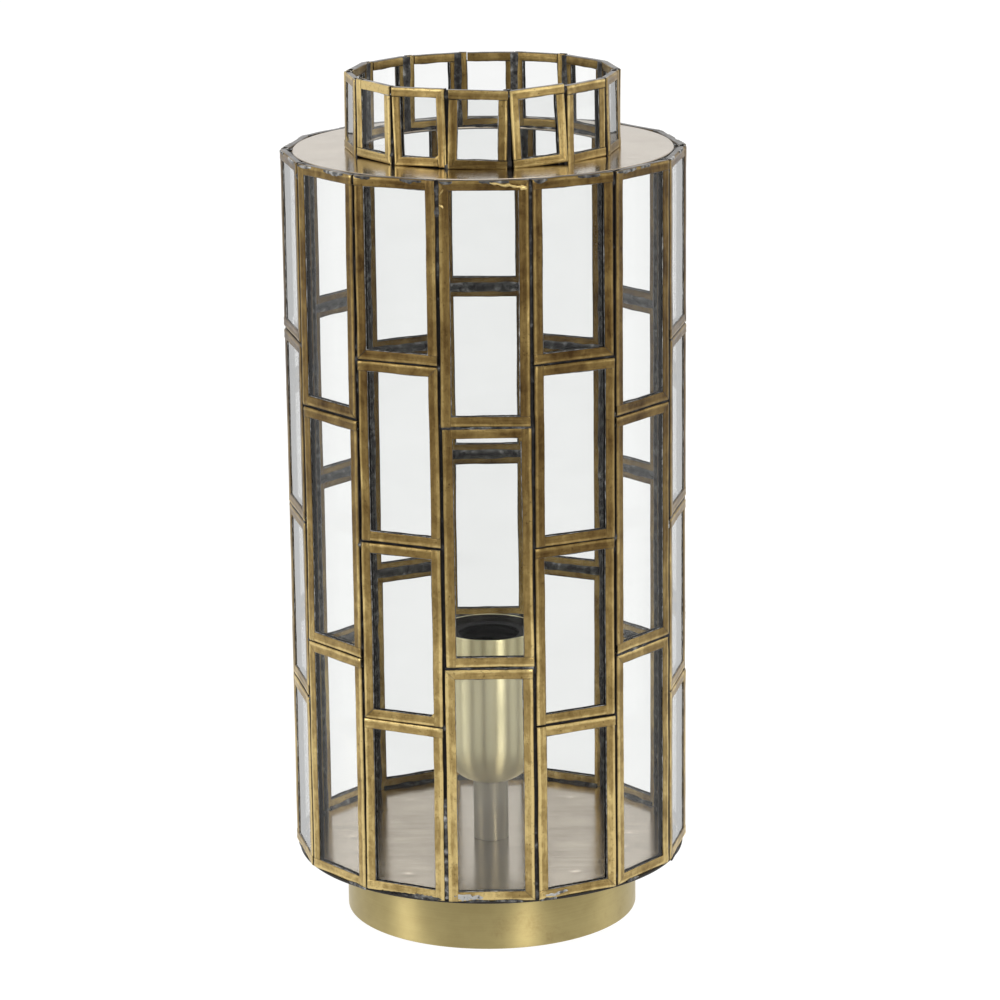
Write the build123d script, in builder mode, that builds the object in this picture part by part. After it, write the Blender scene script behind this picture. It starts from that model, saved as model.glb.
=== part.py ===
"""A leaded-glass lantern table lamp: a fourteen-sided body of brass-framed panes on a round foot, with a glazed
collar on top and an E27 lampholder in a brass cup inside.

Millimetres. +Z is up, the origin is the centre of the foot's underside, and the front faces -Y.
"""

import os
from math import cos, pi, radians, sin, tan

from build123d import *

# ---- Glazed body ----
facet_count = 14
body_corner_radius = 90.0  # to the corners where neighbouring outer faces would meet
body_height = 321.5
few_panes = 3  # panes in the front column and every second one from it
many_panes = 4  # panes in the columns between them

# ---- Framed panes ----
glass_thickness = 2.0
glass_clearance = 0.1  # round each pane inside its frame
came_wall = 0.5  # brass sheet that the frames are folded from
came_face = 4.4  # width of a frame's face
joint_gap = 0.6  # between frames that stand on each other
seam_gap = 0.2  # between the inner edges of neighbouring frames

# ---- Solder ----
solder_recess = 0.8  # how far solder lies below the outer faces
solder_strip = 0.7  # thickness of the strips on the inner faces
seam_strip_width = 3.0  # of a strip, from a frame's edge
joint_strip_height = 6.0
collar_strip_width = 1.6
strip_clearance = 0.2  # between the ends of joint strips and the seam strips
fillet_leg = 1.5  # leg of the solder fillets

# ---- Plates, collar and foot ----
plate_thickness = 1.0
floor_overhang = 0.55  # of the floor plate past the middle of each outer face
plate_edge_gap = 0.25  # between the top plate's rim and the frames
collar_corner_radius = 61.0
collar_height = 34.0
collar_turn = -2.0  # degrees from the body's facets
collar_ledge = 1.3  # plate left inside the collar
ring_radius = 66.5
ring_wall = 1.2
ring_height = 29.6
felt_thickness = 2.0
board_thickness = 3.0
board_clearance = 0.3

# ---- Cord inlet ----
cord_bore_radius = 3.3
grommet_neck_radius = 5.2
grommet_flange_radius = 6.5
grommet_flange = 2.0
grommet_clearance = 0.1

# ---- Stem and fasteners, M10 x 1 ----
thread_radius = 5.0
thread_bore_radius = 4.0
thread_clearance = 0.05
hole_clearance = 0.2
thread_end = 3.0  # of the threaded tube past the lower nut
stem_radius = 8.0
stem_wall = 1.0
stem_length = 28.9
nut_across_flats = 14.0
nut_height = 4.0
plate_washer_radius = 13.0
plate_washer_thickness = 1.5
lock_washer_radius = 8.0
lock_washer_thickness = 0.8
lock_washer_teeth = 10
lock_tooth_width = 1.6
lock_tooth_depth = 1.2

# ---- Lampholder, E27 ----
bulb_thread_radius = 13.3
bulb_thread_length = 19.0
thread_wall = 1.8
shell_hollow = 1.8  # between the shell's thread wall and its outer wall
holder_height = 56.0
rim_thickness = 2.0
rim_round = 0.8
shell_wall = 2.6
spigot_height = 5.0  # of the cap inside the shell
spigot_wall = 0.9
part_clearance = 0.1
shell_lip = 1.1  # shell wall round the spigot
cap_straight = 10.5  # straight side of the cap
cap_cone = 11.0  # height of the cap's sloping side
boss_radius = 8.0
boss_height = 4.5
cap_engagement = 10.0  # of the threaded tube in the cap
cap_ledge = 2.0  # under the insert's edge
chamber_slope = 6.5  # rise and run of the side above the floor of the cap's chamber

# ---- Lock screw of the cap, M3 ----
lock_screw_radius = 1.5
lock_screw_socket = 0.75
lock_screw_socket_depth = 1.2
lock_screw_height = 2.4  # above the cap's lower end

# ---- Insert and contacts ----
block_length = 6.9
block_width = 8.0
block_height = 8.0
contact_sheet = 0.6
contact_width = 6.0
leg_inset = 0.2  # of the terminals' legs from the bulb's thread
slot_clearance = 0.15
top_foot_centre = 6.1  # length of the centre terminal's upper foot
top_foot_side = 1.4
bottom_foot = 7.1
screw_inset = 4.1  # of the terminal screws from the legs
screw_radius = 1.75
screw_depth = 6.0
screw_tip_gap = 0.3
screw_head_radius = 3.0
screw_head_height = 2.2
screw_slot_width = 0.8
screw_slot_depth = 1.0
leaf_sheet = 0.5
leaf_gap = 0.3  # between a terminal and its sprung leaf
bend_radius = 0.35  # of the bend that a leaf turns about
leaf_rise = 3.0  # of the centre leaf's crown over its bend
leaf_crown = 1.0  # from the axis to each end of the crown's flat
leaf_tail = 3.0  # past the crown
leaf_tail_drop = 0.6
side_leaf_height = 4.0
side_leaf_bulge = 0.5

# ---- Cup ----
cup_clearance = 1.8  # round the lampholder
cup_wall = 0.7
holder_gap = 7.5  # between the nut in the cup and the lampholder
rim_depth = 2.5  # of the lampholder below the cup's rim

# ---- Derived: facets ----
half_step = pi / facet_count
facet_step = 360 / facet_count
front_angle = -90.0
came_depth = glass_thickness + 2 * (glass_clearance + came_wall)
body_apothem = body_corner_radius * cos(half_step)
collar_apothem = collar_corner_radius * cos(half_step)
body_inner_apothem = body_apothem - came_depth
collar_inner_apothem = collar_apothem - came_depth

# ---- Derived: heights ----
floor_under = ring_height
floor_top = floor_under + plate_thickness
body_top = floor_top + body_height
cup_bottom = floor_top + stem_length
cup_floor = cup_bottom + cup_wall
cup_nut_bottom = cup_floor + lock_washer_thickness
cup_nut_top = cup_nut_bottom + nut_height
holder_bottom = cup_nut_top + holder_gap
holder_top = holder_bottom + holder_height
cup_top = holder_top + rim_depth
plate_nut_top = floor_under - plate_washer_thickness
plate_nut_bottom = plate_nut_top - nut_height

# ---- Derived: lampholder ----
holder_radius = bulb_thread_radius + thread_wall + shell_hollow + shell_wall
leg_radius = bulb_thread_radius - leg_inset
screw_reach = leg_radius - screw_inset
cup_radius = holder_radius + cup_clearance + cup_wall
cup_seat_radius = max(stem_radius, lock_washer_radius)
cap_shoulder = holder_bottom + boss_height + cap_cone + cap_straight
insert_radius = holder_radius - shell_lip - 2 * part_clearance - spigot_wall
insert_bottom = cap_shoulder
insert_top = insert_bottom + spigot_height
bulb_thread_bottom = holder_top - bulb_thread_length
block_bottom = insert_bottom - block_height
leg_inner = leg_radius - contact_sheet
terminal_top = insert_top + contact_sheet
terminal_bottom = block_bottom - contact_sheet


def facet_plane(apothem, angle, height):
    """A plane on a facet: its normal points outwards and its y axis points up."""
    outward = Vector(cos(radians(angle)), sin(radians(angle)), 0)
    along = Vector(-sin(radians(angle)), cos(radians(angle)), 0)
    return Plane(origin=outward * apothem + Vector(0, 0, height), x_dir=along, z_dir=outward)


def frame_width(inner_apothem):
    """Width of the frames whose inner faces stand at this apothem."""
    return 2 * inner_apothem * tan(half_step) - seam_gap


def pane_height(wall_height, count):
    """Height of each of the frames that share a wall's height."""
    return (wall_height - (count - 1) * joint_gap) / count


def pane_centres(base, wall_height, count):
    """Heights of the middles of the frames that stand on each other."""
    height = pane_height(wall_height, count)
    return [base + height / 2 + row * (height + joint_gap) for row in range(count)]


def build_frames(apothem, angle, width, height, centres):
    """Brass frames folded to a U round each pane of one wall, one solid for each frame."""
    with BuildPart() as frames:
        for centre in centres:
            face = facet_plane(apothem, angle, centre)
            with BuildSketch(face):
                Rectangle(width, height)
                Rectangle(width - 2 * came_face, height - 2 * came_face, mode=Mode.SUBTRACT)
            extrude(amount=-came_depth)
            with BuildSketch(face.offset(-came_wall)):
                Rectangle(width - 2 * came_wall, height - 2 * came_wall)
            extrude(amount=2 * came_wall - came_depth, mode=Mode.SUBTRACT)
    return frames.part


def build_panes(apothem, angle, width, height, centres):
    """The glass of one wall."""
    border = 2 * (came_wall + glass_clearance)
    with BuildPart() as panes:
        for centre in centres:
            with BuildSketch(facet_plane(apothem - came_wall - glass_clearance, angle, centre)):
                Rectangle(width - border, height - border)
            extrude(amount=-glass_thickness)
    return panes.part


def build_seams(apothem, base, height, strip_width, first_angle):
    """Solder in the V between neighbouring walls, with a strip across their inner faces."""
    half_width = frame_width(apothem - came_depth) / 2

    def seam_point(depth, reach):
        """A point at this depth under a wall's face and this far along it, seen from the corner's own axes."""
        outwards = (apothem - depth) * cos(half_step) + reach * sin(half_step)
        sideways = (apothem - depth) * sin(half_step) - reach * cos(half_step)
        return outwards, sideways

    strip_depth = came_depth + solder_strip
    half_outline = [
        seam_point(solder_recess, half_width),
        seam_point(came_depth, half_width),
        seam_point(came_depth, half_width - strip_width),
        seam_point(strip_depth, half_width - strip_width),
    ]
    middle = ((apothem - strip_depth) / cos(half_step), 0)
    mirrored = [(outwards, -sideways) for outwards, sideways in reversed(half_outline)]
    with BuildPart() as seams:
        with BuildSketch(Plane.XY.offset(base)):
            with PolarLocations(0, facet_count, start_angle=first_angle):
                Polygon(*half_outline, middle, *mirrored, align=None)
        extrude(amount=height)
    return seams.part


def build_joints(angle, width, centres):
    """Solder between the frames of one column, each with a strip across the joint inside."""
    pitch = centres[1] - centres[0]
    strip_length = width - 2 * (seam_strip_width + strip_clearance)
    with BuildPart() as joints:
        for centre in centres[:-1]:
            middle = centre + pitch / 2
            with BuildSketch(facet_plane(body_apothem - solder_recess, angle, middle)):
                Rectangle(width, joint_gap)
            extrude(amount=solder_recess - came_depth)
            with BuildSketch(facet_plane(body_inner_apothem, angle, middle)):
                Rectangle(strip_length, joint_strip_height)
            extrude(amount=-solder_strip)
    return joints.part


def build_fillets(inner_apothem, height, rise, width, strip_width, first_angle):
    """Triangular solder fillets between a plate and the inner faces of the walls."""
    length = width - 2 * (strip_width + strip_clearance)
    with BuildPart() as fillets:
        for index in range(facet_count):
            face = facet_plane(inner_apothem, first_angle + index * facet_step, height)
            end = Plane(origin=face.origin - face.x_dir * length / 2, x_dir=-face.z_dir, z_dir=face.x_dir)
            with BuildSketch(end):
                Polygon((0, 0), (abs(rise), 0), (0, rise), align=None)
            extrude(amount=length)
    return fillets.part


def save(part, name):
    """Labels a finished piece and writes it as a node of this name."""
    part.label = name
    export_step(part, f"parts/{name}.step")


os.makedirs("parts", exist_ok=True)

# ---- Columns: frames, glass and the solder between them ----
body_width = frame_width(body_inner_apothem)
all_joints = []
for column in range(facet_count):
    column_angle = front_angle + column * facet_step
    pane_count = few_panes if column % 2 == 0 else many_panes
    column_pane = pane_height(body_height, pane_count)
    column_centres = pane_centres(floor_top, body_height, pane_count)
    column_name = f"column_{column + 1:02d}"
    frames = build_frames(body_apothem, column_angle, body_width, column_pane, column_centres)
    save(frames, f"{column_name}_frames")
    panes = build_panes(body_apothem, column_angle, body_width, column_pane, column_centres)
    save(panes, f"{column_name}_glass")
    all_joints += build_joints(column_angle, body_width, column_centres).solids()

save(Compound(children=all_joints), "pane_joint_solder")

first_corner = front_angle + facet_step / 2
save(build_seams(body_apothem, floor_top, body_height, seam_strip_width, first_corner), "corner_seams")
save(
    build_fillets(body_inner_apothem, floor_top, fillet_leg, body_width, seam_strip_width, front_angle),
    "floor_solder",
)
save(
    build_fillets(
        body_inner_apothem, body_top - plate_thickness, -fillet_leg, body_width, seam_strip_width, front_angle
    ),
    "top_plate_solder",
)

# ---- Collar ----
collar_width = frame_width(collar_inner_apothem)
collar_front = front_angle + collar_turn
collar_centre = [body_top + collar_height / 2]
collar_frame_solids = []
collar_glass_solids = []
for panel in range(facet_count):
    panel_angle = collar_front + panel * facet_step
    panel_frame = build_frames(collar_apothem, panel_angle, collar_width, collar_height, collar_centre)
    panel_glass = build_panes(collar_apothem, panel_angle, collar_width, collar_height, collar_centre)
    collar_frame_solids += panel_frame.solids()
    collar_glass_solids += panel_glass.solids()

save(Compound(children=collar_frame_solids), "collar_frames")
save(Compound(children=collar_glass_solids), "collar_glass")
collar_corner = collar_front + facet_step / 2
save(build_seams(collar_apothem, body_top, collar_height, collar_strip_width, collar_corner), "collar_seams")
save(
    build_fillets(
        collar_inner_apothem, body_top, collar_ledge * 0.8, collar_width, collar_strip_width, collar_front
    ),
    "collar_base_solder",
)

# ---- Plates ----
with BuildPart() as top_plate:
    with BuildSketch(Plane.XY.offset(body_top - plate_thickness)):
        Circle(body_inner_apothem - plate_edge_gap)
        Circle(collar_inner_apothem - collar_ledge, mode=Mode.SUBTRACT)
    extrude(amount=plate_thickness)
save(top_plate.part, "top_plate")

with BuildPart() as floor_plate:
    with BuildSketch(Plane.XY.offset(floor_under)):
        Circle(body_apothem + floor_overhang)
        Circle(thread_radius + hole_clearance, mode=Mode.SUBTRACT)
    extrude(amount=plate_thickness)
save(floor_plate.part, "floor_plate")

# ---- Foot ----
ring_inner = ring_radius - ring_wall
inlet_height = ring_height / 2
with BuildPart() as base_ring:
    with BuildSketch():
        Circle(ring_radius)
        Circle(ring_inner, mode=Mode.SUBTRACT)
    extrude(amount=ring_height)
    with BuildSketch(Plane(origin=(0, ring_radius + ring_wall, inlet_height), x_dir=(1, 0, 0), z_dir=(0, 1, 0))):
        Circle(grommet_neck_radius + grommet_clearance)
    extrude(amount=-3 * ring_wall, mode=Mode.SUBTRACT)
save(base_ring.part, "base_ring")

with BuildPart() as base_ring_solder:
    with BuildSketch(Plane.XZ):
        Polygon(
            (ring_inner, floor_under),
            (ring_inner - fillet_leg, floor_under),
            (ring_inner, floor_under - fillet_leg),
            align=None,
        )
    revolve(axis=Axis.Z)
save(base_ring_solder.part, "base_ring_solder")

with BuildPart() as felt_pad:
    with BuildSketch():
        Circle(ring_inner - board_clearance)
    extrude(amount=felt_thickness)
save(felt_pad.part, "felt_pad")

with BuildPart() as base_board:
    with BuildSketch(Plane.XY.offset(felt_thickness)):
        Circle(ring_inner - board_clearance)
    extrude(amount=board_thickness)
save(base_board.part, "base_board")

# The grommet's inner flange clears the curved inside of the ring, and its outer flange touches the outside.
inner_flange_end = (ring_inner**2 - grommet_flange_radius**2) ** 0.5 - grommet_clearance
outer_flange_start = ring_radius + grommet_clearance
with BuildPart() as cord_grommet:
    with BuildSketch(Plane.YZ):
        with Locations((0, inlet_height)):
            Polygon(
                (inner_flange_end - grommet_flange, cord_bore_radius),
                (inner_flange_end - grommet_flange, grommet_flange_radius),
                (inner_flange_end, grommet_flange_radius),
                (inner_flange_end, grommet_neck_radius),
                (outer_flange_start, grommet_neck_radius),
                (outer_flange_start, grommet_flange_radius),
                (outer_flange_start + grommet_flange, grommet_flange_radius),
                (outer_flange_start + grommet_flange, cord_bore_radius),
                align=None,
            )
    revolve(axis=Axis((0, 0, inlet_height), (0, 1, 0)))
save(cord_grommet.part, "cord_grommet")

# ---- Stem, threaded tube and their fasteners ----
with BuildPart() as stem_tube:
    with BuildSketch(Plane.XY.offset(floor_top)):
        Circle(stem_radius)
        Circle(stem_radius - stem_wall, mode=Mode.SUBTRACT)
    extrude(amount=stem_length)
save(stem_tube.part, "stem_tube")

tube_bottom = plate_nut_bottom - thread_end
with BuildPart() as threaded_tube:
    with BuildSketch(Plane.XY.offset(tube_bottom)):
        Circle(thread_radius)
        Circle(thread_bore_radius, mode=Mode.SUBTRACT)
    extrude(amount=holder_bottom + cap_engagement - tube_bottom)
save(threaded_tube.part, "threaded_tube")

with BuildPart() as plate_washer:
    with BuildSketch(Plane.XY.offset(plate_nut_top)):
        Circle(plate_washer_radius)
        Circle(thread_radius + hole_clearance, mode=Mode.SUBTRACT)
    extrude(amount=plate_washer_thickness)
save(plate_washer.part, "plate_washer")

with BuildPart() as cup_lock_washer:
    with BuildSketch(Plane.XY.offset(cup_floor)):
        Circle(lock_washer_radius)
        Circle(thread_radius + hole_clearance, mode=Mode.SUBTRACT)
        with PolarLocations(lock_washer_radius, lock_washer_teeth):
            Rectangle(2 * lock_tooth_depth, lock_tooth_width, mode=Mode.SUBTRACT)
    extrude(amount=lock_washer_thickness)
save(cup_lock_washer.part, "cup_lock_washer")

for nut_name, nut_base in (("plate_nut", plate_nut_bottom), ("cup_nut", cup_nut_bottom)):
    with BuildPart() as hex_nut:
        with BuildSketch(Plane.XY.offset(nut_base)):
            RegularPolygon(nut_across_flats / 2, 6, major_radius=False)
            Circle(thread_radius + thread_clearance, mode=Mode.SUBTRACT)
        extrude(amount=nut_height)
    save(hex_nut.part, nut_name)

# ---- Cup ----
outer_round = cup_radius - cup_seat_radius
inner_round = outer_round - cup_wall
with BuildPart() as holder_cup:
    with BuildSketch(Plane.XZ):
        with BuildLine():
            inner_start = (thread_radius + hole_clearance, cup_floor)
            outer_start = (thread_radius + hole_clearance, cup_bottom)
            Line(inner_start, outer_start)
            Line(outer_start, (cup_seat_radius, cup_bottom))
            outer_arc = RadiusArc(
                (cup_seat_radius, cup_bottom), (cup_radius, cup_bottom + outer_round), -outer_round
            )
            Line(outer_arc @ 1, (cup_radius, cup_top))
            Line((cup_radius, cup_top), (cup_radius - cup_wall, cup_top))
            Line((cup_radius - cup_wall, cup_top), (cup_radius - cup_wall, cup_bottom + outer_round))
            inner_arc = RadiusArc(
                (cup_radius - cup_wall, cup_bottom + outer_round), (cup_seat_radius, cup_floor), inner_round
            )
            Line(inner_arc @ 1, inner_start)
        make_face()
    revolve(axis=Axis.Z)
save(holder_cup.part, "holder_cup")

# ---- Lampholder cap ----
cone_top = cap_shoulder - cap_straight
chamber_floor = holder_bottom + cap_engagement
chamber_radius = insert_radius - cap_ledge + part_clearance
spigot_outer = holder_radius - shell_lip - part_clearance
screw_plane = Plane(
    origin=(0, -boss_radius, holder_bottom + lock_screw_height), x_dir=(1, 0, 0), z_dir=(0, -1, 0)
)
with BuildPart() as holder_cap:
    with BuildSketch(Plane.XZ):
        Polygon(
            (thread_radius + thread_clearance, holder_bottom),
            (boss_radius, holder_bottom),
            (boss_radius, holder_bottom + boss_height),
            (holder_radius, cone_top),
            (holder_radius, cap_shoulder),
            (spigot_outer, cap_shoulder),
            (spigot_outer, insert_top),
            (insert_radius + part_clearance, insert_top),
            (insert_radius + part_clearance, insert_bottom),
            (chamber_radius, insert_bottom),
            (chamber_radius, chamber_floor + chamber_slope),
            (chamber_radius - chamber_slope, chamber_floor),
            (thread_radius + thread_clearance, chamber_floor),
            align=None,
        )
    revolve(axis=Axis.Z)
    with BuildSketch(screw_plane):
        Circle(lock_screw_radius + thread_clearance)
    extrude(amount=-boss_radius + thread_radius, mode=Mode.SUBTRACT)
save(holder_cap.part, "holder_cap")

lock_screw_length = boss_radius - thread_radius - part_clearance
with BuildPart() as cap_lock_screw:
    with BuildSketch(screw_plane):
        Circle(lock_screw_radius)
    extrude(amount=-lock_screw_length)
    with BuildSketch(screw_plane):
        RegularPolygon(lock_screw_socket, 6, major_radius=False)
    extrude(amount=-lock_screw_socket_depth, mode=Mode.SUBTRACT)
save(cap_lock_screw.part, "cap_lock_screw")

# ---- Lampholder shell: moulded with the bulb's thread inside its rim ----
thread_outer = bulb_thread_radius + thread_wall
shell_inner = holder_radius - shell_wall
lip_inner = holder_radius - shell_lip
with BuildPart() as holder_shell:
    with BuildSketch(Plane.XZ):
        Polygon(
            (bulb_thread_radius, bulb_thread_bottom),
            (bulb_thread_radius, holder_top),
            (holder_radius, holder_top),
            (holder_radius, cap_shoulder + part_clearance),
            (lip_inner, cap_shoulder + part_clearance),
            (lip_inner, insert_top + part_clearance),
            (shell_inner, insert_top + part_clearance),
            (shell_inner, holder_top - rim_thickness),
            (thread_outer, holder_top - rim_thickness),
            (thread_outer, bulb_thread_bottom),
            align=None,
        )
    revolve(axis=Axis.Z)
    rim_edge = holder_shell.edges().filter_by(GeomType.CIRCLE).group_by(Axis.Z)[-1].sort_by(SortBy.RADIUS)[-1]
    fillet(rim_edge, radius=rim_round)
save(holder_shell.part, "holder_shell")

# ---- Lampholder insert ----
block_middle = leg_inner - slot_clearance - block_length / 2
with BuildPart() as holder_insert:
    with BuildSketch(Plane.XY.offset(insert_bottom)):
        Circle(insert_radius)
    extrude(amount=insert_top - insert_bottom)
    with BuildSketch(Plane.XY.offset(insert_bottom)):
        with Locations((-block_middle, 0), (block_middle, 0)):
            Rectangle(block_length, block_width)
    extrude(amount=-block_height)
    with BuildSketch(Plane.XY.offset(insert_top)):
        with Locations((contact_sheet / 2 - leg_radius, 0), (leg_radius - contact_sheet / 2, 0)):
            Rectangle(contact_sheet + 2 * slot_clearance, contact_width + 2 * slot_clearance)
    extrude(amount=insert_bottom - insert_top, mode=Mode.SUBTRACT)
    with BuildSketch(Plane.XY.offset(block_bottom)):
        with Locations((-screw_reach, 0), (screw_reach, 0)):
            Circle(screw_radius + thread_clearance)
    extrude(amount=screw_depth + screw_tip_gap, mode=Mode.SUBTRACT)
save(holder_insert.part, "holder_insert")


def build_terminal(side, top_foot):
    """A strip bent to a C through the insert: an upper foot, a leg and a lower foot with the screw's hole."""
    with BuildPart() as terminal:
        with BuildSketch(Plane.XZ.offset(-contact_width / 2)):
            Polygon(
                (side * leg_radius, terminal_bottom),
                (side * leg_radius, terminal_top),
                (side * (leg_radius - top_foot), terminal_top),
                (side * (leg_radius - top_foot), insert_top),
                (side * leg_inner, insert_top),
                (side * leg_inner, block_bottom),
                (side * (leg_radius - bottom_foot), block_bottom),
                (side * (leg_radius - bottom_foot), terminal_bottom),
                align=None,
            )
        extrude(amount=contact_width)
        with BuildSketch(Plane.XY.offset(terminal_bottom)):
            with Locations((side * screw_reach, 0)):
                Circle(screw_radius + slot_clearance)
        extrude(amount=contact_sheet, mode=Mode.SUBTRACT)
    return terminal.part


save(build_terminal(-1, top_foot_centre), "centre_terminal")
save(build_terminal(1, top_foot_side), "side_terminal")

# The centre leaf turns about the bend at the inner end of its terminal's upper foot and rises to a crown under the
# bulb's tip.
leaf_root_reach = leg_radius - top_foot_centre - leaf_gap - bend_radius
leaf_root_height = insert_top + part_clearance + bend_radius
leaf_crown_height = leaf_root_height + leaf_rise
leaf_middle = (
    (-leaf_root_reach, leaf_root_height),
    (-leaf_crown, leaf_crown_height),
    (leaf_crown, leaf_crown_height),
    (leaf_crown + leaf_tail, leaf_crown_height - leaf_tail_drop),
)
leaf_under = [(reach, height - leaf_sheet / 2) for reach, height in leaf_middle]
leaf_over = [(reach, height + leaf_sheet / 2) for reach, height in reversed(leaf_middle)]
with BuildPart() as centre_contact:
    with BuildSketch(Plane.XZ.offset(-contact_width / 2)):
        Polygon(*leaf_under, *leaf_over, align=None)
        with Locations((-leaf_root_reach, leaf_root_height)):
            Circle(bend_radius)
    extrude(amount=contact_width)
save(centre_contact.part, "centre_contact")

# The side leaf turns about a bend over its terminal's short upper foot and bulges towards the bulb's shell.
side_reach = leg_radius - top_foot_side / 2
side_root_height = terminal_top + leaf_gap + bend_radius
side_middle = (
    (side_reach, side_root_height),
    (side_reach - side_leaf_bulge, side_root_height + side_leaf_height / 2),
    (side_reach, side_root_height + side_leaf_height),
)
side_outer = [(reach + leaf_sheet / 2, height) for reach, height in side_middle]
side_inner = [(reach - leaf_sheet / 2, height) for reach, height in reversed(side_middle)]
with BuildPart() as side_contact:
    with BuildSketch(Plane.XZ.offset(-contact_width / 2)):
        Polygon(*side_outer, *side_inner, align=None)
        with Locations((side_reach, side_root_height)):
            Circle(bend_radius)
    extrude(amount=contact_width)
save(side_contact.part, "side_contact")

with BuildPart() as terminal_screws:
    with BuildSketch(Plane.XY.offset(terminal_bottom)):
        with Locations((-screw_reach, 0), (screw_reach, 0)):
            Circle(screw_radius)
    extrude(amount=screw_depth)
    with BuildSketch(Plane.XY.offset(terminal_bottom)):
        with Locations((-screw_reach, 0), (screw_reach, 0)):
            Circle(screw_head_radius)
    extrude(amount=-screw_head_height)
    with BuildSketch(Plane.XY.offset(terminal_bottom - screw_head_height)):
        with Locations((-screw_reach, 0), (screw_reach, 0)):
            Rectangle(3 * screw_head_radius, screw_slot_width)
    extrude(amount=screw_slot_depth, mode=Mode.SUBTRACT)
save(terminal_screws.part, "terminal_screws")
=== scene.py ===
"""Looks of a leaded-glass lantern table lamp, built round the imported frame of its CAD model.

+Z is up and the front faces -Y, as in the frame. Shapes are worked out in millimetres and become
metres when a piece's mesh is made.
"""

import math
import random

import bmesh
import bpy
from mathutils import Matrix, Vector, noise


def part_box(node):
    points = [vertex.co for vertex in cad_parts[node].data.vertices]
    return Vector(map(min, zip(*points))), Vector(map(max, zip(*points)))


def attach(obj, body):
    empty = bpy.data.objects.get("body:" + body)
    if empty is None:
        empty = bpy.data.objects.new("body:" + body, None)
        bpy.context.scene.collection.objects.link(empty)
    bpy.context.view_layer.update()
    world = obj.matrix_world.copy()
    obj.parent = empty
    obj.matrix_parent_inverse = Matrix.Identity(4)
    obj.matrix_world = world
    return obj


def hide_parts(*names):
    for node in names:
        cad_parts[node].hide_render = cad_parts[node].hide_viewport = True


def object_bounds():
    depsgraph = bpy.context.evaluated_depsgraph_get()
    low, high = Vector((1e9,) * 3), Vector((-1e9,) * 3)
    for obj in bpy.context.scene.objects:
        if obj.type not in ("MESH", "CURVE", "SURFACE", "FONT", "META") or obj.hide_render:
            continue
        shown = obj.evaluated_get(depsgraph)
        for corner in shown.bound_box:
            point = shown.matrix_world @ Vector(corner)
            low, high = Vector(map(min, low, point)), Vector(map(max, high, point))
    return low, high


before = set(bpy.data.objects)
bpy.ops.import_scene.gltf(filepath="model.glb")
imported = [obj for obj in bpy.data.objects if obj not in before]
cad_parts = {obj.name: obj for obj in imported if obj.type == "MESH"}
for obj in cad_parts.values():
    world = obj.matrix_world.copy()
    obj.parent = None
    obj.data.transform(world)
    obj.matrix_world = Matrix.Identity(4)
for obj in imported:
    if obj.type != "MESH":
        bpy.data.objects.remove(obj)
cad_low, cad_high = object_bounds()

MM = 0.001

# ---- Camera, as in a product shot from a little above ----
camera_lens = 142.0
camera_distance = 1786.5
camera_elevation = math.radians(14.8)
camera_roll = math.radians(-0.7)
aim_height = 180.0
camera_shift = (0.0124, 0.0231)


def box_mm(node):
    """The lowest and highest corners of a CAD node, in millimetres."""
    low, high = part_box(node)
    return low / MM, high / MM


# ---- Sizes read from the frame ----
front_low, front_high = box_mm("column_01_frames")
pane_low, pane_high = box_mm("column_01_glass")
ring_low, ring_high = box_mm("base_ring")
floor_low, floor_high = box_mm("floor_plate")
plate_low, plate_high = box_mm("top_plate")
collar_low, collar_high = box_mm("collar_frames")
cup_low, cup_high = box_mm("holder_cup")
stem_low, stem_high = box_mm("stem_tube")
shell_low, shell_high = box_mm("holder_shell")
grommet_low, grommet_high = box_mm("cord_grommet")
body_apothem = -front_low.y
came_depth = front_high.y - front_low.y
body_width = front_high.x - front_low.x
body_bottom = front_low.z
body_top = front_high.z
glass_thickness = pane_high.y - pane_low.y
pane_inset = (body_width - (pane_high.x - pane_low.x)) / 2
body_inner = body_apothem - came_depth

# ---- Sizes that the frame's boxes don't give ----
facet_count = 14
few_panes = 3
many_panes = 4
came_face = 4.4
joint_gap = 0.6
seam_gap = 0.2
collar_corner_radius = 61.0
collar_turn = math.radians(-2.0)
plate_hole_radius = 54.97
cup_wall = 0.7
cup_corner_radius = 14.0
stem_wall = 1.0
ring_wall = 1.2
thread_hole_radius = 5.2
bulb_thread_radius = 13.3
bulb_thread_length = 19.0
bulb_thread_pitch = 3.62
collar_face = 3.9  # of the collar's frame bars
seam_strip = 1.9  # of the solder over the inside of a seam, to each side
joint_strip = 2.25  # of the solder behind a joint, to each side
grommet_bore_radius = 3.3
grommet_neck_radius = 5.2
grommet_flange_radius = 6.5

thin_film = 0.0015  # share of dust over a clean pane
dusty_film = 0.045  # and over the lowest front pane

facet_step = math.tau / facet_count
half_step = facet_step / 2
front_angle = -math.pi / 2
collar_apothem = collar_corner_radius * math.cos(half_step)
collar_inner = collar_apothem - came_depth
collar_width = 2 * collar_inner * math.tan(half_step) - seam_gap
collar_height = collar_high.z - collar_low.z


# ---- Camera, floor and lights ----
def make_camera():
    """A camera in front, a little above and turned a little about its own line of sight."""
    data = bpy.data.cameras.new("camera")
    data.lens = camera_lens
    data.shift_x, data.shift_y = camera_shift
    camera = bpy.data.objects.new("camera", data)
    back = Vector((0, -math.cos(camera_elevation), math.sin(camera_elevation)))
    camera.location = (back * camera_distance + Vector((0, 0, aim_height))) * MM
    tilt = Matrix.Rotation(math.pi / 2 - camera_elevation, 4, "X")
    roll = Matrix.Rotation(camera_roll, 4, "Z")
    camera.rotation_euler = (tilt @ roll).to_euler()
    bpy.context.collection.objects.link(camera)
    bpy.context.scene.camera = camera


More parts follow.
